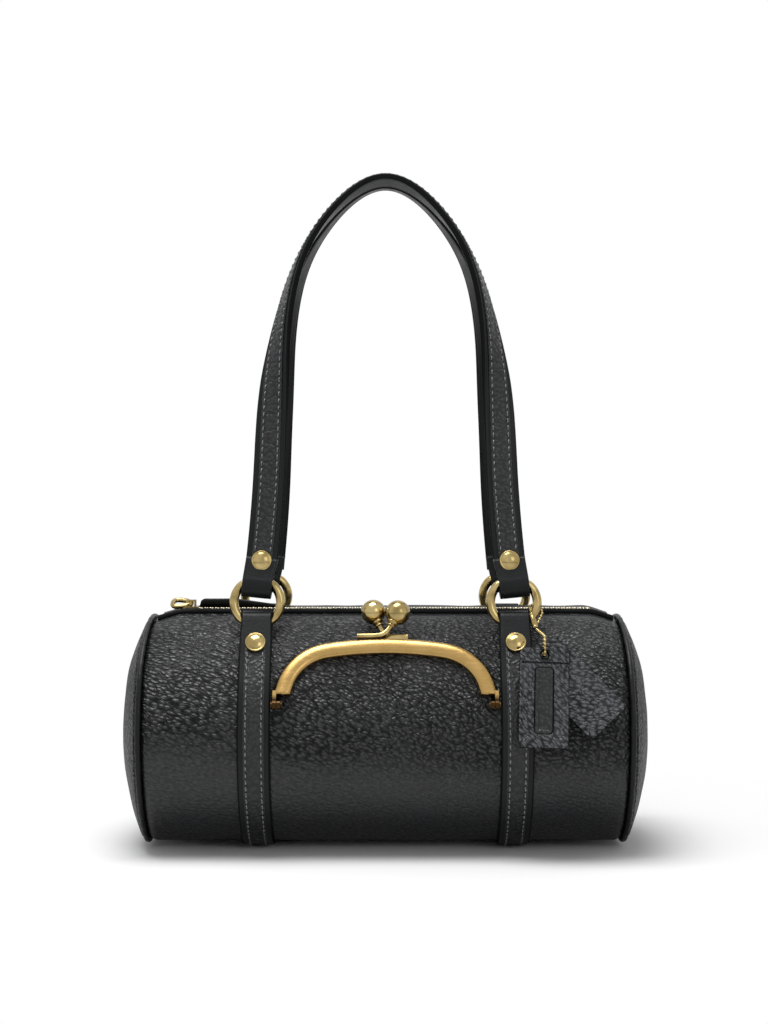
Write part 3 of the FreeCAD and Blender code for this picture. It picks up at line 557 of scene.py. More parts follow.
class Finishes:
    """Every material of the bag, made once."""

    def __init__(self, half_round: float) -> None:
        """Build the finishes; half_round is the barrel's half girth, which calms the grain low down."""
        self.barrel_hide = PebbledCowhide(half_round=half_round).build()
        # Trim is pressed flatter, which leaves wide, low pebbles and a soft sheen.
        self.panel_hide = PebbledCowhide(
            name="tumbled_black_cowhide_trim", pebble=2.0, pebble_stretch=1.0, crease=9.0, slant=0.0,
            relief=0.22, shade=0.3, shine=0.5).build()
        # The ends are stretched over their domes: wide creases and low grain; their low shine is painted shade
        # where the ends turn from the light.
        self.end_hide = PebbledCowhide(
            name="tumbled_black_cowhide_ends", crease=6.0, relief=0.45, shade=0.55, shine=0.22).build()
        # Tag leather shrinks in the drum to fine slanting pebbles, with tops rubbed pale.
        self.tag_hide = PebbledCowhide(
            name="tumbled_black_cowhide_tag", colour="#0e0f10", second_colour="#55575b", pebble=1.3,
            pebble_stretch=0.45, crease=3.0, slant=math.radians(45.0), relief=0.35, shade=0.85).build()
        self.smooth_hide = BurnishedCowhide().build()
        # Skiving and stretching leave the piping nearly smooth; its darker colour is partly painted shade along
        # the end seams.
        self.piping_hide = BurnishedCowhide(
            name="skived_black_cowhide_piping", colour="#0a0a0b", second_colour="#111213", shine=0.2).build()
        # Edge paint dries to a matt, almost black film.
        self.edge_paint = BurnishedCowhide(
            name="edge_painted_black_cowhide", colour="#070708", second_colour="#0c0d0e", roughness=0.6,
            shine=0.08).build()
        self.brass = PlatedBrass().build()
        # Pressed sheet has broad soft highlights, and turns darker brown at its feet and lugs, below a set
        # height.
        self.frame_brass = PlatedBrass(
            name="satin_pressed_brass_frame", colour="#ae8f59", shade_and_dull_colour="#9e814c", roughness=0.27,
            relief=0.002, darker_from=79.6, darker_to=81.8).build()
        # Stamped teeth are left pale, and glint in points.
        self.teeth_brass = PlatedBrass(
            name="stamped_pale_brass_teeth", colour="#cfc6ac", shade_and_dull_colour="#9c9070").build()
        # Bronze left as it was cast looks dark and dull.
        self.bronze = PlatedBrass(
            name="dull_cast_bronze", colour="#4a3b22", shade_and_dull_colour="#2a2014", roughness=0.4).build()
        self.thread = WaxedThread().build()
        self.lining = WovenCloth(name="black_cotton_twill_lining").build()
        self.tape = WovenCloth(
            name="woven_polyester_zip_tape", colour="#1c1c1e", shade_colour="#0d0d0e", thread=0.6,
            bands=("X", "Y")).build()
        self.board = PressedBoard().build()


def put_piece(name: str, points: ndarray, faces: list, uvs: ndarray, material: Material,
              closed: bool = True) -> Object:
    """Make a smooth mesh object from points in millimetres.

    Args:
        name: the piece's name.
        points: corner points, one per row, in the bag's frame with Y from the barrel's axis.
        faces: corner numbers of each face.
        uvs: one grain coordinate in millimetres per face corner, in face order.
        material: its finish.
        closed: whether the mesh is a closed form, whose faces are then turned outwards.

    Returns:
        The object, linked into the scene.
    """
    mesh = bpy.data.meshes.new(name)
    moved = np.asarray(points, float) + BARREL.axis_shift
    mesh.from_pydata((moved * MM).tolist(), [], faces)
    layer = mesh.uv_layers.new(name=GRAIN_MAP)
    layer.data.foreach_set("uv", (np.asarray(uvs, float) * MM).ravel())
    mesh.materials.append(material)
    mesh.polygons.foreach_set("use_smooth", [True] * len(mesh.polygons))
    if closed:
        form = bmesh.new()
        form.from_mesh(mesh)
        bmesh.ops.recalc_face_normals(form, faces=form.faces)
        form.to_mesh(mesh)
        form.free()
    mesh.update()
    return put_object(name, mesh)


def carry(piece: Object, body: str, slot: Slot, *nodes: str) -> Object:
    """Let a piece move with a body and stand for nodes.

    Args:
        piece: the piece.
        body: the body it moves with.
        slot: the material slot it would take its finish from; not used.
        nodes: the nodes it replaces.

    Returns:
        The piece.
    """
    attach(piece, body)
    if nodes:
        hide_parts(*nodes)
    return piece


def dress_node(name: str, material: Material, bevel: float = 0.0) -> None:
    """Give a carried-over node its finish.

    Args:
        name: the node.
        material: its finish.
        bevel: how far its hard edges are softened, in millimetres.
    """
    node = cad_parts[name]
    node.data.materials.clear()
    node.data.materials.append(material)
    if bevel:
        soft = node.modifiers.new("softened_edges", "BEVEL")
        soft.width = bevel * MM
        soft.segments = 3
        soft.limit_method = "ANGLE"
        soft.angle_limit = math.radians(40)


def grid_piece(name: str, grid: ndarray, uv: ndarray, material: Material, wrap: bool = False,
               capped: bool = False, keep: ndarray | None = None) -> Object:
    """Make a piece from a grid of points.

    Args:
        name: the piece's name.
        grid: rows by columns by three, in millimetres.
        uv: rows by columns by two, with one more column where it wraps.
        material: its finish.
        wrap: whether the last column joins the first.
        capped: whether the first and last rows are closed by a face.
        keep: which cells are made, rows less one by columns less one.

    Returns:
        The object.
    """
    rows, columns = grid.shape[:2]
    index = np.arange(rows * columns).reshape(rows, columns)
    if wrap:
        index = np.concatenate([index, index[:, :1]], axis=1)
    early, late = slice(None, -1), slice(1, None)
    corners = [(early, early), (late, early), (late, late), (early, late)]
    cells = np.stack([index[corner] for corner in corners], axis=-1)
    cell_uv = np.stack([uv[corner] for corner in corners], axis=-2)
    if keep is None:
        keep = np.ones(cells.shape[:2], bool)
    faces = cells[keep].tolist()
    uvs = cell_uv[keep].reshape(-1, 2)
    if capped:
        for row in (0, rows - 1):
            faces.append(index[row, :columns].tolist())
            uvs = np.concatenate([uvs, uv[row, :columns]])
    used = np.unique(np.concatenate([np.asarray(face) for face in faces]))
    number = np.full(rows * columns, -1)
    number[used] = np.arange(len(used))
    faces = [[int(number[corner]) for corner in face] for face in faces]
    return put_piece(name, grid.reshape(-1, 3)[used], faces, uvs, material, closed=wrap)


def thicken(piece: Object, thickness: float) -> None:
    """Give a sheet its thickness.

    Args:
        piece: the sheet.
        thickness: millimetres inwards from its outer face.
    """
    shell = piece.modifiers.new("thickness", "SOLIDIFY")
    shell.thickness = thickness * MM
    shell.offset = -1.0


def sweep(name: str, path: ndarray, across: ndarray, out: ndarray, profile: ndarray,
          material: Material, width: ndarray | float = 1.0, height: ndarray | float = 1.0,
          rim: Material | None = None, rim_width: float = 0.75) -> Object:
    """Carry a closed profile along a path and close both ends.

    Args:
        name: the piece's name.
        path: points of the path.
        across: unit vectors across it.
        out: unit vectors out of its face.
        profile: closed outline as across and out distances.
        material: its finish.
        width: scale of the across distances along the path.
        height: scale of the out distances along the path.
        rim: finish of both edges, where it is another.
        rim_width: how far in from the edges it goes.

    Returns:
        The object.
    """
    wide, tall = [np.reshape(scale, (-1, 1, 1)) for scale in (width, height)]
    grid = (path[:, None] + across[:, None] * (profile[None, :, :1] * wide)
            + out[:, None] * (profile[None, :, 1:] * tall))
    uv = grain_grid(path_lengths(closed_up(profile)), path_lengths(path))
    piece = grid_piece(name, grid, uv, material, wrap=True, capped=True)
    if rim:
        piece.data.materials.append(rim)
        middle = np.abs(profile + np.roll(profile, -1, axis=0))[:, 0] / 2
        edge = (middle > profile[:, 0].max() - rim_width).astype(int)
        piece.data.polygons.foreach_set("material_index", np.append(np.tile(edge, len(path) - 1), [1, 1]))
    return piece


def tube_grid(path: ndarray, first: ndarray, second: ndarray, radius: ndarray | float,
              count: int) -> ndarray:
    """Points of a round tube.

    Args:
        path: points of its middle line.
        first: unit vectors across the line, one for each point or one for all.
        second: unit vectors across both.
        radius: its radius, one for each point or one for all.
        count: how many points go round it.

    Returns:
        Rows along the line by columns around it.
    """
    turn = full_circle(count)[None, :, None]
    return path[:, None] + np.reshape(radius, (-1, 1, 1)) * (np.cos(turn) * first[:, None]
                                                             + np.sin(turn) * second[:, None])


def hoop(name: str, grid: ndarray, radius: float, along: ndarray,
         material: Material) -> Object:
    """Make a closed ring from a tube whose end meets its start.

    Args:
        name: the piece's name.
        grid: rows along the ring by columns around its section, in millimetres.
        radius: the section's radius.
        along: grain distance of each row, and one more to close it.
        material: its finish.

    Returns:
        The object.
    """
    around = np.linspace(0, FULL_TURN * radius, grid.shape[1] + 1)
    piece = grid_piece(name, closed_up(grid), grain_grid(around, along), material, wrap=True)
    joined = bmesh.new()
    joined.from_mesh(piece.data)
    bmesh.ops.remove_doubles(joined, verts=joined.verts, dist=0.01 * MM)
    bmesh.ops.recalc_face_normals(joined, faces=joined.faces)
    joined.to_mesh(piece.data)
    joined.free()
    return piece


def ring_faces(first: int, rings: int, count: int) -> list[list[int]]:
    """Number the faces of a closed form made of rings of points.

    Args:
        first: number of its first point.
        rings: how many rings it has.
        count: how many points are in each ring.

    Returns:
        The faces between the rings, then the two that close its ends.
    """
    starts = [first + ring * count for ring in range(rings)]
    faces = []
    for start in starts[:-1]:
        for step in range(count):
            following = (step + 1) % count
            faces.append([start + step, start + following, start + count + following, start + count + step])
    return faces + [list(range(start, start + count)) for start in (starts[0], starts[-1])]


def turned(name: str, places: list[tuple[ndarray, ndarray]], outline: ndarray,
           material: Material, steps: int = 48) -> Object:
    """Make turned forms, each an outline spun about its own axis.

    Args:
        name: the piece's name.
        places: where each axis starts, and its direction.
        outline: radius and height of each point of the outline, in millimetres.
        material: their finish.
        steps: how many faces go round each form.

    Returns:
        One object with every form.
    """
    circle = on_circle(full_circle(steps))
    points, faces = [], []
    for middle, out in places:
        faces += ring_faces(len(points), len(outline), steps)
        side = unit(np.cross(out, np.array([0.0, out[2], -out[1]])))
        spokes = circle @ np.stack([side, np.cross(out, side)])
        for radius, rise in outline:
            points += list(middle + radius * spokes + out * rise)
    uvs = [points[corner][::2] for face in faces for corner in face]
    return put_piece(name, np.array(points), faces, np.array(uvs), material)


def rivet_caps(name: str, places: list[tuple[ndarray, ndarray]], radius: float, height: float,
               material: Material) -> Object:
    """Turned rivet caps, each a low dome inside a raised rim.

    Args:
        name: the piece's name.
        places: middle of each cap's underside, and its outward direction.
        radius: radius over the rim.
        height: height of the dome.
        material: its finish.

    Returns:
        One object with every cap.
    """
    shares = np.array([
        (0.80, -0.10), (0.97, 0.02), (1.0, 0.18), (0.985, 0.34), (0.94, 0.44), (0.89, 0.45), (0.86, 0.41),
        (0.83, 0.42), (0.76, 0.53), (0.64, 0.69), (0.48, 0.84), (0.3, 0.94), (0.15, 0.99), (0.03, 1.0)])
    return turned(name, places, shares * np.array([radius, height]), material)


def groove_dip(lane: ndarray, middle: float, depth: float) -> ndarray:
    """How far a strip's face sinks at places across it, in a pair of creased lines beside its middle."""
    half_width = 0.45
    return depth * np.exp(-((np.abs(lane) - middle) / half_width) ** 2)


def rounded_strip(width: float, low: float, high: float, edge: float, groove: float = 0.0,
                  groove_depth: float = 0.0, crown: float = 0.0) -> ndarray:
    """The outline of a flat strip with rounded edges.

    Args:
        width: its full width.
        low: level of its back.
        high: level of its face.
        edge: radius of its edges.
        groove: distance of two grooves from the middle.
        groove_depth: how deep they are.
        crown: how much the middle of the face stands up.

    Returns:
        Points around the outline as across and out distances.
    """
    half = width / 2
    flat = half - edge
    turn = np.linspace(0, QUARTER_TURN, 5)
    right_top = np.stack([flat + edge * np.sin(turn), high - edge + edge * np.cos(turn)], axis=1)
    right_low = np.stack([flat + edge * np.cos(turn), low + edge - edge * np.sin(turn)], axis=1)
    lane = np.linspace(-flat, flat, 41)[1:-1]
    level = high + crown * (1 - (lane / half) ** 2) - groove_dip(lane, groove, groove_depth)
    back = np.linspace(flat, -flat, 7)[1:-1]
    return np.concatenate([np.stack([lane, level], axis=1), right_top, right_low,
                           np.stack([back, np.full(len(back), low)], axis=1),
                           right_low[::-1] * MIRRORED, right_top[::-1] * MIRRORED])


@dataclass(frozen=True)
class Stitch:
    """One stitch of thread: a bowed capsule that dips in at its ends and lies a little slanted."""

    pitch: float = 3.6
    half_share: float = 0.35
    radius: float = 0.36
    slant: float = 0.09
    count: int = 8
    girth_step: float = 0.28
    ring_shares: tuple = (-1.0, -0.8, -0.4, 0.0, 0.4, 0.8, 1.0)
    swell_shares: tuple = (0.12, 0.75, 1.0, 1.05, 1.0, 0.75, 0.12)
    bow: tuple = (-0.34, -0.1, 0.1, 0.14, 0.1, -0.1, -0.34)

    def rows(self, name: str, laid: tuple[ndarray, ndarray, ndarray], aside: float, lift: float,
             material: Material) -> Object:
        """Lay two rows of stitches along a path.

        Args:
            name: the piece's name.
            laid: points of the path, and unit vectors across it and out of its face.
            aside: distance of each row from the path.
            lift: distance of both rows out of it.
            material: the thread.

        Returns:
            The object.
        """
        lengths = path_lengths(laid[0])
        half = self.pitch * self.half_share
        rings = np.array(self.ring_shares)
        turn = full_circle(self.count)
        points, faces, uvs = [], [], []
        for shift in (-aside, aside):
            for station in np.arange(self.pitch / 2, lengths[-1], self.pitch):
                faces += ring_faces(len(points), len(rings), self.count)
                for ring, swell, bow in zip(rings, self.swell_shares, self.bow):
                    at = np.clip(station + ring * half, 0, lengths[-1])
                    middle, side, face = [read_along(at, lengths, data) for data in laid]
                    fat = swell * self.radius
                    points += list(middle + np.outer(shift + ring * self.slant + fat * np.cos(turn), side)
                                   + np.outer(lift + bow + fat * np.sin(turn), face))
                ends = station + rings * half
                for low, high in zip(ends, ends[1:]):
                    for step in range(self.count):
                        near, far = step * self.girth_step, (step + 1) * self.girth_step
                        uvs += [(near, low), (far, low), (far, high), (near, high)]
                uvs += [(0.0, station)] * (2 * self.count)
        return put_piece(name, np.array(points), faces, np.array(uvs), material)


def mirror_front(points: ndarray, side: Side) -> ndarray:
    """Front points as they are, or mirrored to the rear of the barrel's axis."""
    return points * np.array([1.0, side.value, 1.0])


def natural_spline(knots: ndarray, values: ndarray, places: ndarray) -> ndarray:
    """A smooth curve through values.

    Args:
        knots: where the values stand.
        values: the values.
        places: where the curve is read.

    Returns:
        The curve's values at the places.
    """
    gap = np.diff(knots)
    slope = np.diff(values) / gap
    count = len(knots)
    system = np.eye(count)
    right = np.zeros(count)
    for at in range(1, count - 1):
        system[at, at - 1:at + 2] = gap[at - 1], 2 * (gap[at - 1] + gap[at]), gap[at]
        right[at] = 6 * (slope[at] - slope[at - 1])
    bend = np.linalg.solve(system, right)
    cell = np.clip(np.searchsorted(knots, places) - 1, 0, count - 2)
    span = gap[cell]
    past = places - knots[cell]
    left = knots[cell + 1] - places
    return (bend[cell] * left ** 3 / (6 * span) + bend[cell + 1] * past ** 3 / (6 * span)
            + (values[cell] / span - bend[cell] * span / 6) * left
            + (values[cell + 1] / span - bend[cell + 1] * span / 6) * past)


@dataclass(frozen=True)
class Barrel:
    """The settled round section that every leather layer follows, and the droop of its shoulders."""

    radius: float = 61.0
    axis_z: float = 59.6
    base_z: float = 2.9
    corner_radius: float = 30.0
    centre_y: float = field(default_factory=lambda: sum(corner.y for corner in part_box("body_panel")) / 2 / MM)
    droop: float = 4.2
    droop_from: float = 103.0
    droop_to: float = 122.0
    droop_low: float = 88.0
    droop_high: float = 119.0

    @property
    def axis_shift(self) -> ndarray:
        """From Y counted from the barrel's axis to the bag's own frame."""
        return np.array([0.0, self.centre_y, 0.0])

    @property
    def flat_half(self) -> float:
        """Half the width of the flat base."""
        drop = self.base_z + self.corner_radius - self.axis_z
        return math.sqrt((self.radius - self.corner_radius) ** 2 - drop ** 2)

    @property
    def low_angle(self) -> float:
        """Angle below the axis where the round turns into the base corner, as a negative number."""
        return math.atan2(self.base_z + self.corner_radius - self.axis_z, self.flat_half)

    @property
    def round_length(self) -> float:
        """Length of the round from the top to the base corner."""
        return self.radius * (QUARTER_TURN - self.low_angle)

    @property
    def corner_length(self) -> float:
        """Length of the base corner."""
        return self.corner_radius * (self.low_angle + QUARTER_TURN)

    @property
    def half_girth(self) -> float:
        """Length from the top to the middle of the base."""
        return self.round_length + self.corner_length + self.flat_half

    def section(self, girth: ndarray, offset: ndarray | float = 0.0) -> tuple[ndarray, ndarray]:
        """Points and outward directions around the section.

        Args:
            girth: distance from the top, down the front, over the base and up the rear.
            offset: distance out from the leather's face.

        Returns:
            Y and Z of the points, and Y and Z of the directions, on the last axis.
        """
        girth = np.asarray(girth, float)
        rear = girth > self.half_girth
        run = np.where(rear, 2 * self.half_girth - girth, girth)
        facing = np.where(rear, 1.0, -1.0)
        round_turn = QUARTER_TURN - np.minimum(run, self.round_length) / self.radius
        corner_turn = self.low_angle - np.clip(
            run - self.round_length, 0, self.corner_length) / self.corner_radius
        on_round = run <= self.round_length
        turn = np.where(on_round, round_turn, corner_turn)
        reach = np.where(on_round, self.radius, self.corner_radius) + offset
        flat = np.maximum(run - self.round_length - self.corner_length, 0)
        middle_y = np.where(on_round, 0.0, self.flat_half - flat)
        middle_z = np.where(on_round, self.axis_z, self.base_z + self.corner_radius)
        y = facing * (middle_y + reach * np.cos(turn))
        z = middle_z + reach * np.sin(turn)
        return np.stack([y, z], axis=-1), np.stack([facing * np.cos(turn), np.sin(turn)], axis=-1)

    def sheet(self, x: ndarray, girth: ndarray, offset: ndarray | float = 0.0) -> ndarray:
        """Points of a sheet wrapped round the section, from X, girth and distance out."""
        return np.concatenate([x[..., None], self.section(girth, offset)[0]], axis=-1)

    def settle(self, points: ndarray) -> ndarray:
        """Let the upper shoulders at both ends hang a little, as soft leather does.

        Args:
            points: points of a sheet, with X, Y and Z on the last axis.

        Returns:
            The points as they settle.
        """
        settled = points.copy()
        settled[..., 2] -= (self.droop * ease(self.droop_from, self.droop_to, np.abs(points[..., 0]))
                            * ease(self.droop_low, self.droop_high, points[..., 2]))
        return settled


BARREL = Barrel()


@dataclass(frozen=True)
class Arch:
    """The kiss-lock frame's outline, in a plane that leans back from its hinge."""

    hinge_y: float = -61.865
    hinge_z: float = 76.757
    lean: float = math.radians(29.049)
    half_width: float = 54.9
    foot: float = 5.6
    top: float = 35.4
    top_radius: float = 180.0
    corner_radius: float = 29.4
    leg_angle: float = math.radians(74.0)

    @property
    def rise(self) -> ndarray:
        """The direction up the leaning plane."""
        return leaning_ways(self.lean)[0]

    @property
    def ahead(self) -> ndarray:
        """The direction out of the leaning plane."""
        return leaning_ways(self.lean)[1]

    @property
    def hinge(self) -> ndarray:
        """The middle of the hinge line."""
        return np.array([0.0, self.hinge_y, self.hinge_z])

    def corner(self) -> tuple[float, float]:
        """Centre of the rounded corner on the right, across and up the plane."""
        normal = np.array([math.sin(self.leg_angle), math.cos(self.leg_angle)])
        along = np.array([-math.cos(self.leg_angle), math.sin(self.leg_angle)])
        start = np.array([self.half_width, self.foot]) - normal * self.corner_radius
        rel = start - np.array([0.0, self.top - self.top_radius])
        reach = self.top_radius - self.corner_radius
        mid = rel @ along
        move = -mid + math.sqrt(mid * mid - rel @ rel + reach * reach)
        centre = start + along * move
        return float(centre[0]), float(centre[1])

    def depth_inside(self, x: ndarray, up: ndarray) -> ndarray:
        """How far points lie inside the outline; the legs go on downwards.

        Args:
            x: their places across.
            up: their places up the plane.

        Returns:
            Distances, below zero outside the outline.
        """
        corner_x, corner_up = self.corner()
        away = np.abs(x)
        lean = np.arctan2(away - corner_x, up - corner_up)
        meet = math.atan2(corner_x, corner_up - self.top + self.top_radius)
        by_top = self.top_radius - np.hypot(away, up - self.top + self.top_radius)
        by_corner = self.corner_radius - np.hypot(away - corner_x, up - corner_up)
        by_leg = -((away - self.half_width) * math.sin(self.leg_angle)
                   + (up - self.foot) * math.cos(self.leg_angle))
        by_side = np.where(lean > self.leg_angle, by_leg, by_corner)
        inside_turn = np.where((lean < meet) | (away < corner_x / 2), by_top, by_side)
        return np.where((up < corner_up) & (away > corner_x), by_leg, inside_turn)

    def level(self, points: ndarray) -> tuple[ndarray, ndarray]:
        """Height up the leaning plane, and distance in front of it, of points."""
        away = points - self.hinge
        return away @ self.rise, away @ self.ahead

    def place(self, x: float, up: float, ahead: float) -> ndarray:
        """A point from its place across, up and in front of the leaning plane."""
        return self.hinge + x * X_AXIS + up * self.rise + ahead * self.ahead


ARCH = Arch()


@dataclass
class LeatherBody:
    """The barrel's leather: wrapped sheet, coin pocket front, domed ends, piping and what lines it."""

    finishes: Finishes
    half_length: float = 119.6
    thickness: float = 2.0
    cell: float = 1.5
    nudge: float = 0.05
    fit_share: float = 0.62
    mouth_half_length: float = 110.0
    mouth_half_width: float = 12.0
    panel_half: float = 57.6
    panel_low: float = 180.0
    panel_inset: float = 3.4
    panel_foot: float = 4.6
    panel_back: float = 1.3
    panel_edge: tuple = (6.0, 19.0)
    panel_rise: tuple = (2.0, 12.0)
    bend_from: float = 69.0
    bend_to: float = 85.0
    piping_plane: float = 121.0
    piping_radius: float = 1.4
    piping_sunk: float = 0.3
    piping_waves: tuple = ((0.05, 0.7, 0.0), (0.04, 1.9, 1.0))
    end_from: float = 122.7
    end_rise: float = 12.0
    end_power: float = 2.3
    end_tuck: float = 1.6
    tuck_share: float = 0.965
    end_waves: tuple = ((33.0, 0.8), (12.0, 0.3))
    end_seeds: tuple = (21.0, 5.0)
    strap_x: float = 64.5
    swell: float = 0.55
    low_swell_share: float = 0.4
    swell_waves: tuple = ((41.0, 3.1, 1.0), (19.0, 7.7, 0.5))
    crumple: float = 0.3
    crumple_waves: tuple = (8.5, 13.0)
    crumple_seed: float = 11.3
    upper_round: tuple = (70.0, 110.0)
    strap_clear: tuple = (8.5, 15.0)
    zip_clear: tuple = (14.0, 30.0)
    base_clear: tuple = (165.0, 176.0)
    end_clear: tuple = (112.0, 118.0)
    frame_clear: tuple = (7.0, 16.0)
    frame_foot: float = -4.0
    end_turn: float = 1.3
    end_turn_from: float = 116.6
    seam_run: float = 16.4
    seam_depth: float = 0.7
    seam_width: float = 1.3
    lining_gap: float = 3.4
    lining_slack: float = 0.5
    lining_wave: float = 23.0
    lining_thickness: float = 0.8
    lining_half: float = 117.5
    lining_turn: float = 100.0
    lining_cell: float = 4.0
    window_margin: float = 3.0
    window_foot: float = 4.0
    window_low: float = 60.0
    pouch_half: float = 50.0
    pouch_cell: float = 3.0
    pouch_gap: float = 6.5
    pouch_side: float = 16.0
    pouch_hem: float = 1.0
    pouch_back: float = 1.5
    pouch_foot_share: float = 0.28
    pouch_top_share: float = 0.8
    long_share: float = 0.62
    short_share: float = 0.85
    long_between: tuple = (-75.0, 40.0)
    grain_slant: float = -0.1

    @property
    def mouth_girth(self) -> float:
        """Distance round from the top to the mouth's edge."""
        return BARREL.radius * math.asin(self.mouth_half_width / BARREL.radius)

    def build(self) -> list[Object]:
        """Make every leather and fabric piece of the body."""
        return [self.barrel_sheet(), self.coin_front(), *[self.end_panel(end) for end in End],
                *[self.piping(end) for end in End], self.lining(), self.coin_pouch()]

    def lines(self, stops: list[float], cell: float) -> ndarray:
        """Grid lines through every stop, about a cell apart."""
        runs = [np.linspace(low, high, max(2, int(round((high - low) / cell)) + 1))[:-1]
                for low, high in zip(stops, stops[1:])]
        return np.concatenate([*runs, stops[-1:]])

    def inside_depth(self, x: ndarray, girth: ndarray) -> tuple[ndarray, ndarray]:
        """How far grid points lie inside the kiss-lock outline, and their height up its plane."""
        up, ahead = ARCH.level(BARREL.sheet(x, girth))
        return ARCH.depth_inside(x, up), up

    def surface(self, x: ndarray, girth: ndarray) -> ndarray:
        """Points of the leather's face: the round section with its soft swells and turned-in ends.

        Args:
            x: places along the barrel.
            girth: distances round it from the top.

        Returns:
            The points, with X, Y and Z on the last axis.
        """
        away = np.abs(x)
        run = np.minimum(girth, 2 * BARREL.half_girth - girth)
        shaped = np.stack([x, girth], axis=-1)
        slow = sum(weight * ripple(shaped / wave, seed) for wave, seed, weight in self.swell_waves)
        quick = 1 - 2 * np.abs(ripple(shaped / np.array(self.crumple_waves), self.crumple_seed))
        upper = 1 - ease(*self.upper_round, run)
        depth, up = self.inside_depth(x, girth)
        by_frame = (girth < BARREL.half_girth) & (up > self.frame_foot)
        free = (ease(*self.strap_clear, np.abs(away - self.strap_x)) * ease(*self.zip_clear, run)
                * (1 - ease(*self.base_clear, run)) * (1 - ease(*self.end_clear, away))
                * np.where(by_frame, ease(*self.frame_clear, np.abs(depth)), 1.0))
        soft = self.swell * slow * (self.low_swell_share + (1 - self.low_swell_share) * upper)
        lift = (free * (soft + self.crumple * quick * upper)
                - self.end_turn * ease(self.end_turn_from, self.half_length, away)
                - self.seam_depth * np.exp(-((run - self.seam_run) / self.seam_width) ** 2))
        return BARREL.settle(BARREL.sheet(x, girth, lift))

    def hide_map(self, x: ndarray, girth: ndarray) -> ndarray:
        """Grain coordinates of the barrel's face, whose pebbles run longer towards the left.

        Args:
            x: places along the barrel.
            girth: distances round it from the top.

        Returns:
            Two coordinates on the last axis.
        """
        table = np.linspace(-self.half_length, self.half_length, 161)
        density = self.long_share + (self.short_share - self.long_share) * ease(*self.long_between, table)
        run = np.concatenate([[0.0], np.cumsum((density[1:] + density[:-1]) / 2 * np.diff(table))])
        slant = self.grain_slant * (1 - ease(*self.long_between, x)) * x
        return np.stack([np.interp(x, table, run), girth + slant], axis=-1)

    def fit_outline(self, x: ndarray, girth: ndarray) -> tuple[ndarray, ndarray]:
        """Draw the grid points next to the kiss-lock outline onto it.

        Args:
            x: places along the barrel.
            girth: distances round it from the top.

        Returns:
            The places and distances after two steps towards the outline.
        """
        for attempt in range(2):
            depth, up = self.inside_depth(x, girth)
            slope_x, slope_girth = [
                (self.inside_depth(x + aside, girth + down)[0]
                 - self.inside_depth(x - aside, girth - down)[0]) / (2 * self.nudge)
                for aside, down in ((self.nudge, 0.0), (0.0, self.nudge))]
            near = (np.abs(depth) < self.fit_share * self.cell) & (np.abs(x) < self.panel_half - self.cell)
            near &= (girth > self.mouth_girth) & (girth < self.panel_low)
            step = np.where(near, depth / np.maximum(slope_x ** 2 + slope_girth ** 2, 1e-6), 0.0)
            x, girth = x - step * slope_x, girth - step * slope_girth
        return x, girth

    def barrel_sheet(self) -> Object:
        """The wrapped sheet, with its mouth and the opening that the coin pocket fills."""
        girth_end = 2 * BARREL.half_girth
        across = [self.panel_half, self.mouth_half_length, self.half_length]
        x, girth = self.fit_outline(*np.meshgrid(
            self.lines([-stop for stop in reversed(across)] + across, self.cell),
            self.lines([0.0, self.mouth_girth, self.panel_low, girth_end - self.mouth_girth, girth_end],
                       self.cell)))
        mid_x, mid_girth = cell_middles(x), cell_middles(girth)
        depth, up = self.inside_depth(mid_x, mid_girth)
        run = np.minimum(mid_girth, girth_end - mid_girth)
        mouth = (np.abs(mid_x) < self.mouth_half_length) & (run < self.mouth_girth)
        pocket = (depth > 0) & (np.abs(mid_x) < self.panel_half) & (mid_girth < self.panel_low)
        piece = grid_piece("barrel_leather", self.surface(x, girth), self.hide_map(x, girth),
                           self.finishes.barrel_hide, keep=~(mouth | pocket))
        thicken(piece, self.thickness)
        return carry(piece, BAG, Slot.LEATHER, "body_panel")

    def coin_front(self) -> Object:
        """The leather between the straps, which bends at the hinge and lifts to the frame's inner edge."""
        x, girth = np.meshgrid(self.lines([-self.panel_half, self.panel_half], self.cell),
                               self.lines([self.mouth_girth, self.panel_low], self.cell))
        grid = self.surface(x, girth)
        depth, up = self.inside_depth(x, girth)
        plane_up, ahead = ARCH.level(grid)
        pull = (1 - ease(*self.panel_edge, depth)) * ease(*self.panel_rise, up)
        grid = grid - ((self.panel_back + ahead) * pull)[..., None] * ARCH.ahead
        mid_depth, mid_up = self.inside_depth(cell_middles(x), cell_middles(girth))
        keep = mid_depth > np.where(mid_up > self.panel_foot, self.panel_inset, 0.0)
        piece = grid_piece("coin_front_leather", grid, self.hide_map(x, girth), self.finishes.barrel_hide,
                           keep=keep)
        thicken(piece, self.thickness)
        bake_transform(piece)
        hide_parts("coin_flap")
        return piece

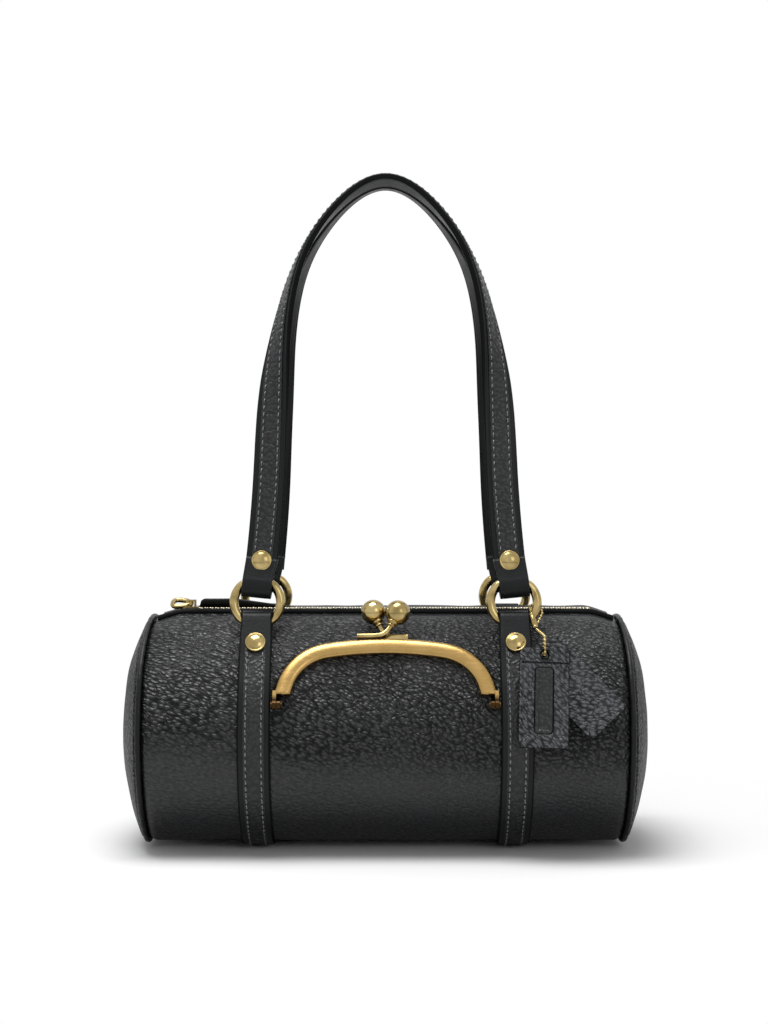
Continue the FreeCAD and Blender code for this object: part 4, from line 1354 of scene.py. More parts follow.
    def end_panel(self, end: End) -> Object:
        """A domed end panel that plumps out beside the piping.

        Args:
            end: which end it closes.

        Returns:
            The object.
        """
        rings = np.concatenate([np.linspace(0.02, 0.86, 26), np.linspace(0.88, 1.0, 12)])
        edge = BARREL.section(np.linspace(0, 2 * BARREL.half_girth, 240, endpoint=False))[0]
        centre = np.array([0.0, BARREL.axis_z - 1.0])
        share = rings[:, None] + np.zeros(len(edge))
        shaped = centre + share[..., None] * (edge - centre)
        soft = sum(weight * ripple(shaped / wave, seed) for (wave, weight), seed in zip(
            self.end_waves, (self.end_seeds[0] + end.value, self.end_seeds[1])))
        rise = (self.end_rise * (1 - share ** self.end_power) + soft * (1 - share ** 4)
                - self.end_tuck * ease(self.tuck_share, 1.0, share))
        grid = np.concatenate([(end.value * (self.end_from + rise))[..., None], shaped], axis=-1)
        uv = np.concatenate([shaped, shaped[:, :1]], axis=1)
        piece = grid_piece(f"{end.word}_end_leather", BARREL.settle(grid), uv, self.finishes.end_hide,
                           wrap=True)
        self.cap_middle(piece, end)
        thicken(piece, self.thickness)
        return carry(piece, BAG, Slot.LEATHER, f"{end.word}_end_panel")

    def cap_middle(self, piece: Object, end: End) -> None:
        """Close the small hole in the middle of an end panel and turn its faces outwards.

        Args:
            piece: the panel.
            end: which end it closes.
        """
        shape = bmesh.new()
        shape.from_mesh(piece.data)
        dome = (self.end_from + self.end_rise * 0.75) * MM
        rim = [edge for edge in shape.edges if edge.is_boundary and abs(edge.verts[0].co.x) > dome]
        for face in bmesh.ops.contextual_create(shape, geom=rim)["faces"]:
            face.smooth = True
        bmesh.ops.recalc_face_normals(shape, faces=shape.faces)
        outward = sum(face.normal.x * face.calc_area() for face in shape.faces)
        if outward * end.value < 0:
            bmesh.ops.reverse_faces(shape, faces=shape.faces)
        shape.to_mesh(piece.data)
        shape.free()

    def piping(self, end: End) -> Object:
        """The leather covered cord in an end seam.

        Args:
            end: which end it is at.

        Returns:
            The object.
        """
        around = np.linspace(0, 2 * BARREL.half_girth, 360, endpoint=False)
        middle, normal = BARREL.section(around, -self.piping_sunk)
        path = np.column_stack([np.full(len(around), end.value * self.piping_plane), middle])
        out = np.column_stack([np.zeros(len(around)), normal])
        uneven = 1 + sum(size * np.sin(around * rate + start) for size, rate, start in self.piping_waves)
        grid = BARREL.settle(tube_grid(path, X_AXIS[None], out, self.piping_radius * uneven, 12))
        piece = hoop(f"{end.word}_piping_cord", grid, self.piping_radius,
                     np.append(around, 2 * BARREL.half_girth), self.finishes.piping_hide)
        return carry(piece, BAG, Slot.LEATHER, f"{end.word}_piping")

    def lining(self) -> Object:
        """The fabric bag inside the leather, open under the zip and behind the coin pocket."""
        across = [-self.lining_half, -self.lining_turn, self.lining_turn, self.lining_half]
        around = [self.mouth_girth, 2 * BARREL.half_girth - self.mouth_girth]
        x, girth = np.meshgrid(self.lines(across, self.lining_cell), self.lines(around, self.lining_cell))
        shaped = np.stack([x, girth], axis=-1)
        slack = -self.lining_gap - self.lining_slack * (1 + ripple(shaped / self.lining_wave, 2.0))
        mid_girth = cell_middles(girth)
        depth, up = self.inside_depth(cell_middles(x), mid_girth)
        window = (depth > -self.window_margin) & (mid_girth < self.window_low) & (up > self.window_foot)
        piece = grid_piece("lining_fabric", BARREL.settle(BARREL.sheet(x, girth, slack)), shaped,
                           self.finishes.lining, keep=~window)
        thicken(piece, self.lining_thickness)
        return carry(piece, BAG, Slot.LINING, "lining")

    def coin_pouch(self) -> Object:
        """The fabric pocket behind the coin front: a shallow tray sewn to the rear frame."""
        low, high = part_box("coin_pouch")
        x, share = np.meshgrid(self.lines([-self.pouch_half, self.pouch_half], self.pouch_cell),
                               np.linspace(0.0, 1.0, 22))
        bottom, top = low.z / MM + self.pouch_hem, high.z / MM - self.pouch_hem
        z = bottom + (top - bottom) * share
        wall = self.pouch_gap - np.sqrt(np.maximum(BARREL.radius ** 2 - (z - BARREL.axis_z) ** 2, 0.0))
        tuck = ease(0.0, self.pouch_foot_share, share) * (1 - ease(self.pouch_top_share, 1.0, share))
        side = 1 - ease(self.pouch_half - self.pouch_side, self.pouch_half, np.abs(x))
        y = wall + (high.y / MM - BARREL.centre_y - self.pouch_back - wall) * tuck * side
        piece = grid_piece("coin_pouch_fabric", np.stack([x, y, z], axis=-1), np.stack([x, z], axis=-1),
                           self.finishes.lining)
        thicken(piece, self.lining_thickness)
        return carry(piece, BAG, Slot.LINING, "coin_pouch")


@dataclass
class ZipMouth:
    """The zip along the top: rolled facings, woven tapes, teeth, stops, slider and pull."""

    finishes: Finishes
    facing_half: float = 117.0
    inner: float = 5.2
    outer: float = 15.0
    facing_outline: tuple = (
        (0.00, -0.1), (0.005, 0.7), (0.03, 1.2), (0.08, 1.5), (0.15, 1.6), (0.25, 1.45), (0.40, 1.05),
        (0.60, 0.72), (0.80, 0.55), (0.92, 0.42), (0.985, 0.15), (1.0, -0.25), (0.97, -0.6), (0.9, -0.8),
        (0.75, -0.8), (0.5, -0.5), (0.2, -0.35), (0.03, -0.3))
    facing_width: float = 10.0
    roll_from: float = 0.9
    front_roll: float = 1.2
    rear_roll: float = 1.35
    wave: float = 0.22
    wave_length: float = 17.0
    wave_seed: float = 1.7
    bulge: float = 4.5
    bulge_shares: tuple = (
        (-98.0, 0.0), (-97.2, 0.7), (-95.5, 1.0), (-79.0, 1.0), (-57.0, 0.33), (-46.0, 0.0))
    under_from: float = -0.3
    under_share: float = 0.3
    under_shares: tuple = (0.6, 0.95)
    lifted_shares: tuple = (0.3, 0.8)
    tape_half: float = 108.0
    tape_inner: float = 0.6
    tape_outer: float = 11.4
    tape_low: float = 119.55
    tape_high: float = 120.2
    drawn_back_share: float = 0.3
    tooth_pitch: float = 2.8
    tooth_length: float = 1.3
    tooth_reach: float = 3.1
    tooth_overlap: float = 0.6
    tooth_low: float = 119.3
    tooth_high: float = 120.9
    tooth_edge: float = 0.3
    tooth_top_share: float = 0.86
    teeth_end: float = 104.0
    top_stop_x: float = -106.9
    bottom_stop_x: float = 105.4
    stop_length: float = 2.0
    stop_corner: float = 0.4
    top_stop_inner: float = 0.3
    slider_edge: float = 0.45
    pull_middle: float = -106.3
    pull_half: float = 4.8
    pull_half_width: float = 3.8
    pull_taper: float = 0.4
    pull_wire: float = 1.3
    pull_level: float = 123.0
    pull_roll: float = math.radians(21.0)
    pull_power: float = 0.8

    def build(self) -> list[Object]:
        """Make both sides of the zip, its stops and pull, and dress the slider."""
        made = []
        for side in Side:
            made += [self.facing(side), self.tape(side), self.teeth(side)]
        dress_node("zip_slider", self.finishes.brass, self.slider_edge)
        return made + [*self.stops(), self.pull()]

    def facing(self, side: Side) -> Object:
        """A turned and painted leather edge; the rear one rolls up towards its left end.

        Args:
            side: which side of the zip it is on.

        Returns:
            The object.
        """
        x = np.linspace(-self.facing_half, self.facing_half, 235)
        outline = np.array(self.facing_outline)
        inward, height = outline[None, :, 0], outline[None, :, 1]
        away = self.outer + (self.inner - self.outer) * inward
        level = np.sqrt(BARREL.radius ** 2 - away ** 2) + BARREL.axis_z
        drawn = [noise.noise(Vector((at / self.wave_length, self.wave_seed, side.value))) for at in x]
        wave = self.wave * np.array(drawn)
        roll = self.front_roll if side is Side.FRONT else self.rear_roll
        rolled = height * np.where(height > self.roll_from, roll, 1.0)
        grid = np.zeros((len(x), len(outline), 3))
        grid[..., 0] = x[:, None]
        grid[..., 1] = -side.value * (away + wave[:, None] * inward)
        grid[..., 2] = level + rolled * (1 + wave[:, None])
        if side is Side.REAR:
            lift = self.bulge * np.interp(x, *np.array(self.bulge_shares).T)
            follow = np.where(height > self.under_from, ease(*self.lifted_shares, inward),
                              self.under_share * ease(*self.under_shares, inward))
            grid[..., 2] += lift[:, None] * follow
        around = path_lengths(closed_up(outline) * np.array([self.facing_width, 1.0]))
        # The front facing takes the near black matt edge paint, which also paints in the shade along that band;
        # the rear one takes piping leather.
        finish = self.finishes.edge_paint if side is Side.FRONT else self.finishes.piping_hide
        piece = grid_piece(f"{side.word}_facing_leather", BARREL.settle(grid), grain_grid(around, x), finish,
                           wrap=True, capped=True)
        return carry(piece, BAG, Slot.LEATHER, f"{side.word}_zip_facing")

    def part_on_slide(self, piece: Object) -> None:
        """Give the tape or teeth of one side a mesh of its own."""
        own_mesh(piece)

    def tape(self, side: Side) -> Object:
        """A woven tape with a thicker beaded edge under the teeth.

        Args:
            side: which side of the zip it is on.

        Returns:
            The object.
        """
        x = np.linspace(-self.tape_half, self.tape_half, 109)
        outline = np.array([
            (self.tape_inner, 0.25), (self.tape_inner + 0.35, 0.95), (1.5, 1.0), (2.2, 0.75), (4.0, 0.7),
            (8.0, 0.5), (self.tape_outer, 0.2), (self.tape_outer, -0.5), (6.0, -0.3), (2.2, 0.0), (1.2, -0.1),
            (0.8, 0.0)])
        grid = np.zeros((len(x), len(outline), 3))
        grid[..., 0] = x[:, None]
        grid[..., 1] = -side.value * outline[:, 0]
        grid[..., 2] = self.tape_low + outline[:, 1] * (self.tape_high - self.tape_low)
        uv = grain_grid(path_lengths(closed_up(outline)), x)
        piece = grid_piece(f"{side.word}_woven_tape", grid, uv, self.finishes.tape, wrap=True, capped=True)
        carry(piece, BAG, Slot.TAPE, f"{side.word}_zip_tape")
        self.part_on_slide(piece)
        return piece

    def stamped(self, name: str, node: str, blocks: list[tuple[float, ndarray]]) -> Object:
        """Stamped brass blocks with softened tops and undersides.

        Args:
            name: the piece's name.
            node: the node it stands for.
            blocks: X of each block, and its outline as X and Y distances.

        Returns:
            One object with every block.
        """
        levels = [(self.tooth_low, self.tooth_top_share), (self.tooth_low + self.tooth_edge, 1.0),
                  (self.tooth_high - self.tooth_edge, 1.0), (self.tooth_high, self.tooth_top_share)]
        points, faces = [], []
        for place, plan in blocks:
            faces += ring_faces(len(points), len(levels), len(plan))
            middle = plan.mean(axis=0)
            for level, scale in levels:
                ring = middle + (plan - middle) * scale
                points += [(place + across, along, level) for across, along in ring]
        uvs = [points[corner][:2] for face in faces for corner in face]
        piece = put_piece(name, np.array(points), faces, np.array(uvs), self.finishes.teeth_brass)
        return carry(piece, BAG, Slot.BRASS, node)

    def teeth(self, side: Side) -> Object:
        """A row of stamped teeth with rounded heads, set half a pitch from the other row.

        Args:
            side: which side of the zip it is on.

        Returns:
            The object.
        """
        phase = 0.0 if side is Side.FRONT else self.tooth_pitch / 2
        half = self.tooth_length / 2
        edge = np.array([
            (0.45 * half, -self.tooth_overlap), (0.85 * half, -self.tooth_overlap * 0.5), (half, 0.5),
            (half, self.tooth_reach - 0.4), (0.8 * half, self.tooth_reach)])
        plan = np.concatenate([edge, edge[::-1] * MIRRORED]) * np.array([1.0, -side.value])
        places = np.arange(-self.teeth_end + phase, self.teeth_end, self.tooth_pitch)
        piece = self.stamped(f"{side.word}_teeth_row", f"{side.word}_zip_teeth",
                             [(place, plan) for place in places])
        self.part_on_slide(piece)
        return piece

    def stop_plan(self, inner: float) -> ndarray:
        """Outline of a stop clamped on the tape.

        Args:
            inner: where its inner edge is; its outer edge is at the teeth's reach.

        Returns:
            X and Y of its corners.
        """
        half, reach, cut = self.stop_length / 2, self.tooth_reach, self.stop_corner
        right = np.array([(half - cut, inner), (half, inner + cut), (half, reach - cut), (half - cut, reach)])
        return np.concatenate([right, right[::-1] * MIRRORED])

    def stops(self) -> list[Object]:
        """One stop on each tape at the closed end, and one across both at the far end."""
        top, bottom = self.stop_plan(self.top_stop_inner), self.stop_plan(-self.tooth_reach)
        pair = [(self.top_stop_x, top), (self.top_stop_x, -top * MIRRORED)]
        return [self.stamped("top_stop_clamps", "zip_top_stops", pair),
                self.stamped("bottom_stop_clamp", "zip_bottom_stop", [(self.bottom_stop_x, bottom)])]

    def pull(self) -> Object:
        """A cast loop through the slider's bridge, narrower there, rolled a little on its side."""
        along, aside = squared_off(on_circle(full_circle(64)), self.pull_power).T
        flat = np.stack([self.pull_middle + self.pull_half * along,
                         self.pull_half_width * aside * (1 - self.pull_taper * along)], axis=1)
        way = closed_ways(flat)
        side = np.array([0.0, math.cos(self.pull_roll), math.sin(self.pull_roll)])
        face = np.cross(X_AXIS, side)
        path = flat @ np.stack([X_AXIS, side]) + np.array([0.0, 0.0, self.pull_level])
        out = np.outer(way[:, 1], X_AXIS) - np.outer(way[:, 0], side)
        piece = hoop("pull_loop", tube_grid(path, out, face[None], self.pull_wire, 16), self.pull_wire,
                     path_lengths(closed_up(path)), self.finishes.brass)
        return carry(piece, "zip_pull", Slot.BRASS, "zip_pull")


@dataclass
class BodyStraps:
    """Two straps that hold the barrel from ring to ring, with stitched strips, folds and rivets."""

    finishes: Finishes
    strap_x: float = 64.5
    width: float = 16.2
    fold_width: float = 15.4
    widening: tuple = (34.0, 44.0)
    thickness: float = 2.0
    lay: float = 0.05
    edge: float = 0.8
    crease_inset: float = 1.6
    crease_depth: float = 0.4
    strip_width: float = 10.4
    strip_low: float = 2.1
    strip_high: float = 2.9
    strip_lap: float = 0.05
    strip_drop: float = 0.1
    strip_crown: float = 0.22
    strip_edge: float = 0.35
    strip_start: float = 3.3
    tip_share: float = 0.7
    tip_length: float = 4.5
    stitch_from_middle: float = 3.85
    stitch_groove: float = 0.3
    thread_sunk: float = 0.12
    thread_lap: float = 0.4
    loop_orbit: float = 66.35
    loop_angle: float = math.radians(58.16)
    loop_middle: float = 4.15
    back_turn: float = math.radians(215.0)
    back_along: float = 18.0
    back_step: float = 1.2
    back_low: float = 15.6
    rivet_along: float = 17.9
    rivet_gap: float = 0.05
    cap_radius: float = 5.1
    cap_height: float = 2.2

    @property
    def level(self) -> float:
        """Distance of the strap's middle from the barrel's axis."""
        return BARREL.radius + self.lay + self.thickness / 2

    @property
    def run_angle(self) -> float:
        """Angle above the axis at which a strap leaves the barrel on a straight run to its ring."""
        return self.loop_angle - math.acos((self.level - self.loop_middle) / self.loop_orbit)

    @property
    def run_length(self) -> float:
        """Length of the straight run."""
        return math.sqrt(self.loop_orbit ** 2 - (self.level - self.loop_middle) ** 2)

    def build(self) -> list[Object]:
        """Make both straps, their strips, thread and rivets."""
        made = []
        for end in End:
            made += [self.strap(end), self.strip(end), self.thread(end)]
        return made + [self.rivets()]

    def on_run(self, level: ndarray | float, along: ndarray | float) -> ndarray:
        """Y and Z of points by the front's straight run, from their distance off the axis and up it."""
        way, out = [direction[1:] for direction in leaning_ways(self.run_angle)]
        return np.array([0.0, BARREL.axis_z]) + np.multiply.outer(level, out) + np.multiply.outer(along, way)

    def front_fold(self) -> ndarray:
        """Middle line of the front end: up the run, round the ring's bar and back behind the rivet."""
        rising = self.on_run(np.full(13, self.level), np.linspace(0, self.run_length, 13, endpoint=False))
        turn = np.linspace(0, self.back_turn, 32)
        bow_level = self.level - self.loop_middle * (1 - np.cos(turn))
        bow_along = self.run_length + self.loop_middle * np.sin(turn)
        share = np.linspace(0, 1, 12)[1:]
        under = self.level - self.thickness
        back_level = bow_level[-1] + (under - bow_level[-1]) * np.sin(share * QUARTER_TURN)
        back_along = bow_along[-1] + (self.back_along - bow_along[-1]) * share
        last = self.on_run(np.full(2, under), np.array([self.back_along - self.back_step, self.back_low]))
        return np.concatenate([rising, self.on_run(bow_level, bow_along),
                               self.on_run(back_level, back_along), last])

    def wrapped(self, offset: float, fold: ndarray, end: End) -> tuple[ndarray, ndarray, ndarray]:
        """Lay a line from the front over the base to the rear, with the same fold at both ends.

        Args:
            offset: its distance out from the barrel.
            fold: Y and Z of its front end.
            end: which strap it is on.

        Returns:
            Its points, and unit vectors across it and out of its face.
        """
        start = BARREL.radius * (QUARTER_TURN - self.run_angle)
        under = BARREL.section(np.linspace(start, 2 * BARREL.half_girth - start, 140), offset)[0]
        line = np.concatenate([fold[:0:-1], under, fold[1:] * MIRRORED])
        way = unit(np.gradient(line, axis=0))
        path = np.column_stack([np.full(len(line), end.value * self.strap_x), line])
        return (path, np.tile(X_AXIS, (len(line), 1)),
                np.column_stack([np.zeros(len(line)), -way[:, 1], way[:, 0]]))

    def from_ends(self, path: ndarray) -> ndarray:
        """Distance of a path's points from its nearer end."""
        lengths = path_lengths(path)
        return np.minimum(lengths, lengths[-1] - lengths)

    def strap(self, end: End) -> Object:
        """One strap with burnished edges, from fold to fold.

        Args:
            end: which strap it is.

        Returns:
            The object.
        """
        half = self.thickness / 2
        laid = self.wrapped(self.lay + half, self.front_fold(), end)
        profile = rounded_strip(self.width, -half, half, self.edge, self.width / 2 - self.crease_inset,
                                self.crease_depth)
        narrow = self.fold_width / self.width
        width = narrow + (1 - narrow) * ease(*self.widening, self.from_ends(laid[0]))
        # The rounded edges take the matt black edge paint: real painted edges, which also paint in the shadow
        # line where the strap meets the barrel.
        piece = sweep(f"{end.word}_strap_leather", *laid, profile, self.finishes.smooth_hide, width,
                      rim=self.finishes.edge_paint)
        return carry(piece, BAG, Slot.LEATHER, f"{end.word}_body_strap")

    def strip_line(self, offset: float, top: float, end: End) -> tuple[ndarray, ndarray, ndarray]:
        """Lay a line along a strip at a distance off the barrel, from a distance up the run."""
        rising = self.on_run(np.full(12, BARREL.radius + offset), np.linspace(0, top, 12))
        return self.wrapped(offset, rising, end)

    def strip(self, end: End) -> Object:
        """The narrower stitched strip along a strap, trimmed in under the rivets.

        Args:
            end: which strap it is on.

        Returns:
            The object.
        """
        laid = self.strip_line(self.strip_low, self.rivet_along + self.strip_start, end)
        profile = rounded_strip(
            self.strip_width, -self.strip_lap, self.strip_high - self.strip_low - self.strip_drop,
            self.strip_edge, self.stitch_from_middle, self.stitch_groove, self.strip_crown)
        width = self.tip_share + (1 - self.tip_share) * ease(0.0, self.tip_length, self.from_ends(laid[0]))
        piece = sweep(f"{end.word}_strip_leather", *laid, profile, self.finishes.panel_hide, width)
        return carry(piece, BAG, Slot.LEATHER, f"{end.word}_strap_overlay")

    def thread(self, end: End) -> Object:
        """Two rows of thread along a strip, from rivet to rivet.

        Args:
            end: which strap it is on.

        Returns:
            The object.
        """
        laid = self.strip_line(self.strip_high - self.thread_sunk,
                               self.rivet_along - self.cap_radius + self.thread_lap, end)
        piece = Stitch().rows(f"{end.word}_strap_thread", laid, self.stitch_from_middle, 0.0,
                              self.finishes.thread)
        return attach(piece, BAG)

    def rivets(self) -> Object:
        """Four turned rivet caps under the rings."""
        spot = self.on_run(BARREL.radius + self.strip_high + self.rivet_gap, self.rivet_along)
        out = leaning_ways(self.run_angle)[1]
        caps = [(mirror_front(np.array([end.value * self.strap_x, *spot]), side), mirror_front(out, side))
                for end in End for side in Side]
        piece = rivet_caps("strap_rivet_caps", caps, self.cap_radius, self.cap_height, self.finishes.brass)
        return carry(piece, BAG, Slot.BRASS, "strap_rivets")


@dataclass
class Handle:
    """One carrying handle: a two-layer strap that twists on edge at the top, its strip, folds and rivets."""

    finishes: Finishes
    side: Side
    strap_x: float = 64.5
    ring_y: float = -35.003
    ring_z: float = 115.966
    lean: float = math.radians(6.5516)
    foot: float = 18.8
    rise: float = 227.9
    width: float = 16.2
    thickness: float = 3.0
    edge: float = 1.0
    layer_gap: float = 0.42
    crease_inset: float = 1.6
    crease_depth: float = 0.32
    rim_width: float = 0.6
    strap_start: float = 5.0
    strip_width: float = 10.4
    strip_height: float = 0.8
    strip_lap: float = 0.1
    strip_edge: float = 0.35
    strip_crown: float = 0.22
    strip_start: float = 3.3
    stitch_from_middle: float = 3.85
    stitch_groove: float = 0.28
    thread_sunk: float = 0.02
    thread_start_share: float = 0.7
    loop_middle: float = 4.6
    loop_slack: float = 1.8
    loop_thickness: float = 1.6
    loop_over: float = 0.15
    loop_join: float = 13.0
    fold_width: float = 15.0
    fold_shift: float = 0.9
    fold_inset: float = 0.1
    fold_edge: float = 0.55
    fold_crease_depth: float = 0.1
    rivet_from_loop: float = 10.85
    rivet_gap: float = 0.15
    cap_radius: float = 5.1
    cap_height: float = 2.2
    path_shares: tuple = ((0.985, 0.0), (0.950, 0.11), (0.918, 0.25), (0.897, 0.40), (0.840, 0.595),
                          (0.673, 0.80), (0.480, 0.90))
    twist_shares: tuple = ((0.30, 0.0), (0.45, 15.0), (0.595, 50.0), (0.70, 66.0), (0.80, 78.0), (1.0, 90.0))
    twist_reach: int = 8
    path: ndarray = field(init=False)
    way: ndarray = field(init=False)
    across: ndarray = field(init=False)
    out: ndarray = field(init=False)
    up: ndarray = field(init=False)

    @property
    def body(self) -> str:
        """The body that this handle is part of."""
        return f"{self.side.word}_handle"

    def build(self) -> list[Object]:
        """Make the strap, folds, strip, thread and rivets of this handle."""
        self.walk()
        return [self.strap(), *[self.fold(end) for end in End], self.strip(), self.thread(), self.rivets()]

    def walk(self) -> None:
        """Work out the front handle's middle line and directions, a smooth curve through its places."""
        high = self.rise - self.foot
        half = np.array(self.path_shares) * np.array([self.strap_x, high]) + np.array([0.0, self.foot])
        flat = np.concatenate([half * MIRRORED, [[0.0, self.rise]], half[::-1]])
        knots = path_lengths(flat)
        fine = np.linspace(0, knots[-1], 321)
        plain = np.stack([natural_spline(knots, column, fine) for column in flat.T], axis=1)
        rise, ahead = leaning_ways(self.lean)
        self.up = plain[:, 1]
        self.path = np.array([0.0, self.ring_y, self.ring_z]) + plain @ np.stack([X_AXIS, rise])
        self.way = unit(np.gradient(self.path, axis=0))
        twist = np.radians(np.interp((self.up - self.foot) / high, *np.array(self.twist_shares).T))
        window = 2 * self.twist_reach + 1
        padded = np.pad(twist, self.twist_reach, mode="edge")
        twist = np.convolve(padded, np.full(window, 1 / window), "valid")
        level = unit(np.cross(self.way, ahead))
        self.across = unit(level * np.cos(twist)[:, None] + ahead * np.sin(twist)[:, None])
        self.out = np.cross(self.across, self.way)

    def laid(self, up: float) -> tuple[ndarray, ndarray, ndarray]:
        """The middle line at and above a height over the rings' lower bars.

        Args:
            up: the height.

        Returns:
            Its points, and unit vectors across it and out of its face, on this handle's side.
        """
        above = np.flatnonzero(self.up >= up)
        run = slice(above[0], above[-1] + 1)
        whole = (self.path, self.across, self.out)
        path, across, out = [mirror_front(data[run], self.side) for data in whole]
        return path, across, out

    def strap(self) -> Object:
        """Two glued layers with a line between them along both edges."""
        half, side = self.thickness / 2, self.width / 2
        flat = side - self.edge
        turn = np.linspace(-QUARTER_TURN, QUARTER_TURN, 9)
        right = np.stack([flat + self.edge * np.cos(turn), half * np.sin(turn)], axis=1)
        right[len(turn) // 2, 0] -= self.layer_gap
        lane = np.linspace(flat, -flat, 25)[1:-1]
        top = half - groove_dip(lane, side - self.crease_inset, self.crease_depth)
        face = np.stack([lane, top], axis=1)
        profile = np.concatenate([right, face, right[::-1] * MIRRORED, face[::-1] * -MIRRORED])
        # The rounded edges take the matt black edge paint: real painted edges, which also paint in the dark
        # shadow line along each side.
        piece = sweep(f"{self.body}_leather", *self.laid(self.foot + self.strap_start), profile,
                      self.finishes.smooth_hide, rim=self.finishes.edge_paint, rim_width=self.rim_width)
        return carry(piece, self.body, Slot.LEATHER, f"{self.body}_strap")

    def loop_line(self) -> tuple[ndarray, ndarray]:
        """The line of a fold round the ring's bar, in its own plane.

        Returns:
            Places out of the strap's face and up the strap, and the line's outward directions.
        """
        half = (self.thickness - self.loop_thickness) / 2
        tilt = math.asin((self.loop_middle - half) / math.hypot(self.loop_join, half)) + self.loop_over
        turn = np.linspace(QUARTER_TURN - tilt, 3 * QUARTER_TURN + tilt, 38)
        bow = self.loop_middle * np.stack([np.sin(turn), np.cos(turn)], axis=1)
        bow[:, 1] -= self.loop_slack * (bow[:, 1] < 0)
        start, finish = np.array([half, self.loop_join]), np.array([-half, self.loop_join])
        lead = np.linspace(0, 1, 9)[:, None]
        line = np.concatenate([start + (bow[0] - start) * lead[:-1], bow,
                               bow[-1] + (finish - bow[-1]) * lead[1:]])
        way = unit(np.gradient(line, axis=0))
        out = np.stack([-way[:, 1], way[:, 0]], axis=1)
        return line, out * np.sign(np.sum(out * (line - line.mean(axis=0))))

    def fold(self, end: End) -> Object:
        """The layers parting to go round the ring's bar.

        Args:
            end: which end of the handle it is.

        Returns:
            The object.
        """
        at = 0 if end is End.LEFT else -1
        ways = np.stack([self.out[at], -end.value * self.way[at]])
        line, outward = self.loop_line()
        low = 1 - ease(0.0, self.loop_join, line[:, 1])
        path = self.path[at] + line @ ways + np.outer(end.value * self.fold_shift * low, X_AXIS)
        laid = [mirror_front(data, self.side) for data in (path, self.across[at][None], outward @ ways)]
        thick = self.loop_thickness / 2
        profile = rounded_strip(self.width - self.fold_inset, -thick, thick, self.fold_edge,
                                self.width / 2 - self.crease_inset, self.fold_crease_depth)
        piece = sweep(f"{self.body}_{end.word}_fold", *laid, profile, self.finishes.smooth_hide,
                      1 - (1 - self.fold_width / self.width) * low)
        return carry(piece, self.body, Slot.LEATHER)

    def strip(self) -> Object:
        """The narrower stitched strip on the outer face."""
        low = self.thickness / 2
        profile = rounded_strip(self.strip_width, low - self.strip_lap, low + self.strip_height,
                                self.strip_edge, self.stitch_from_middle, self.stitch_groove,
                                self.strip_crown)
        laid = self.laid(self.foot + self.rivet_from_loop - self.strip_start)
        piece = sweep(f"{self.body}_strip", *laid, profile, self.finishes.panel_hide)
        return carry(piece, self.body, Slot.LEATHER, f"{self.body}_overlay")

    def thread(self) -> Object:
        """Two rows of thread along the strip, clear of the rivets."""
        laid = self.laid(self.foot + self.rivet_from_loop + self.cap_radius * self.thread_start_share)
        lift = self.thickness / 2 + self.strip_height - self.thread_sunk
        piece = Stitch().rows(f"{self.body}_thread", laid, self.stitch_from_middle, lift,
                              self.finishes.thread)
        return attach(piece, self.body)

    def rivets(self) -> Object:
        """A turned rivet cap over each end of the strip."""
        path, across, out = self.laid(self.foot + self.rivet_from_loop)
        lift = self.thickness / 2 + self.strip_height + self.rivet_gap
        caps = [(path[at] + out[at] * lift, out[at]) for at in (0, -1)]
        piece = rivet_caps(f"{self.body}_rivet_caps", caps, self.cap_radius, self.cap_height,
                           self.finishes.brass)
        return carry(piece, self.body, Slot.BRASS, f"{self.body}_rivets")


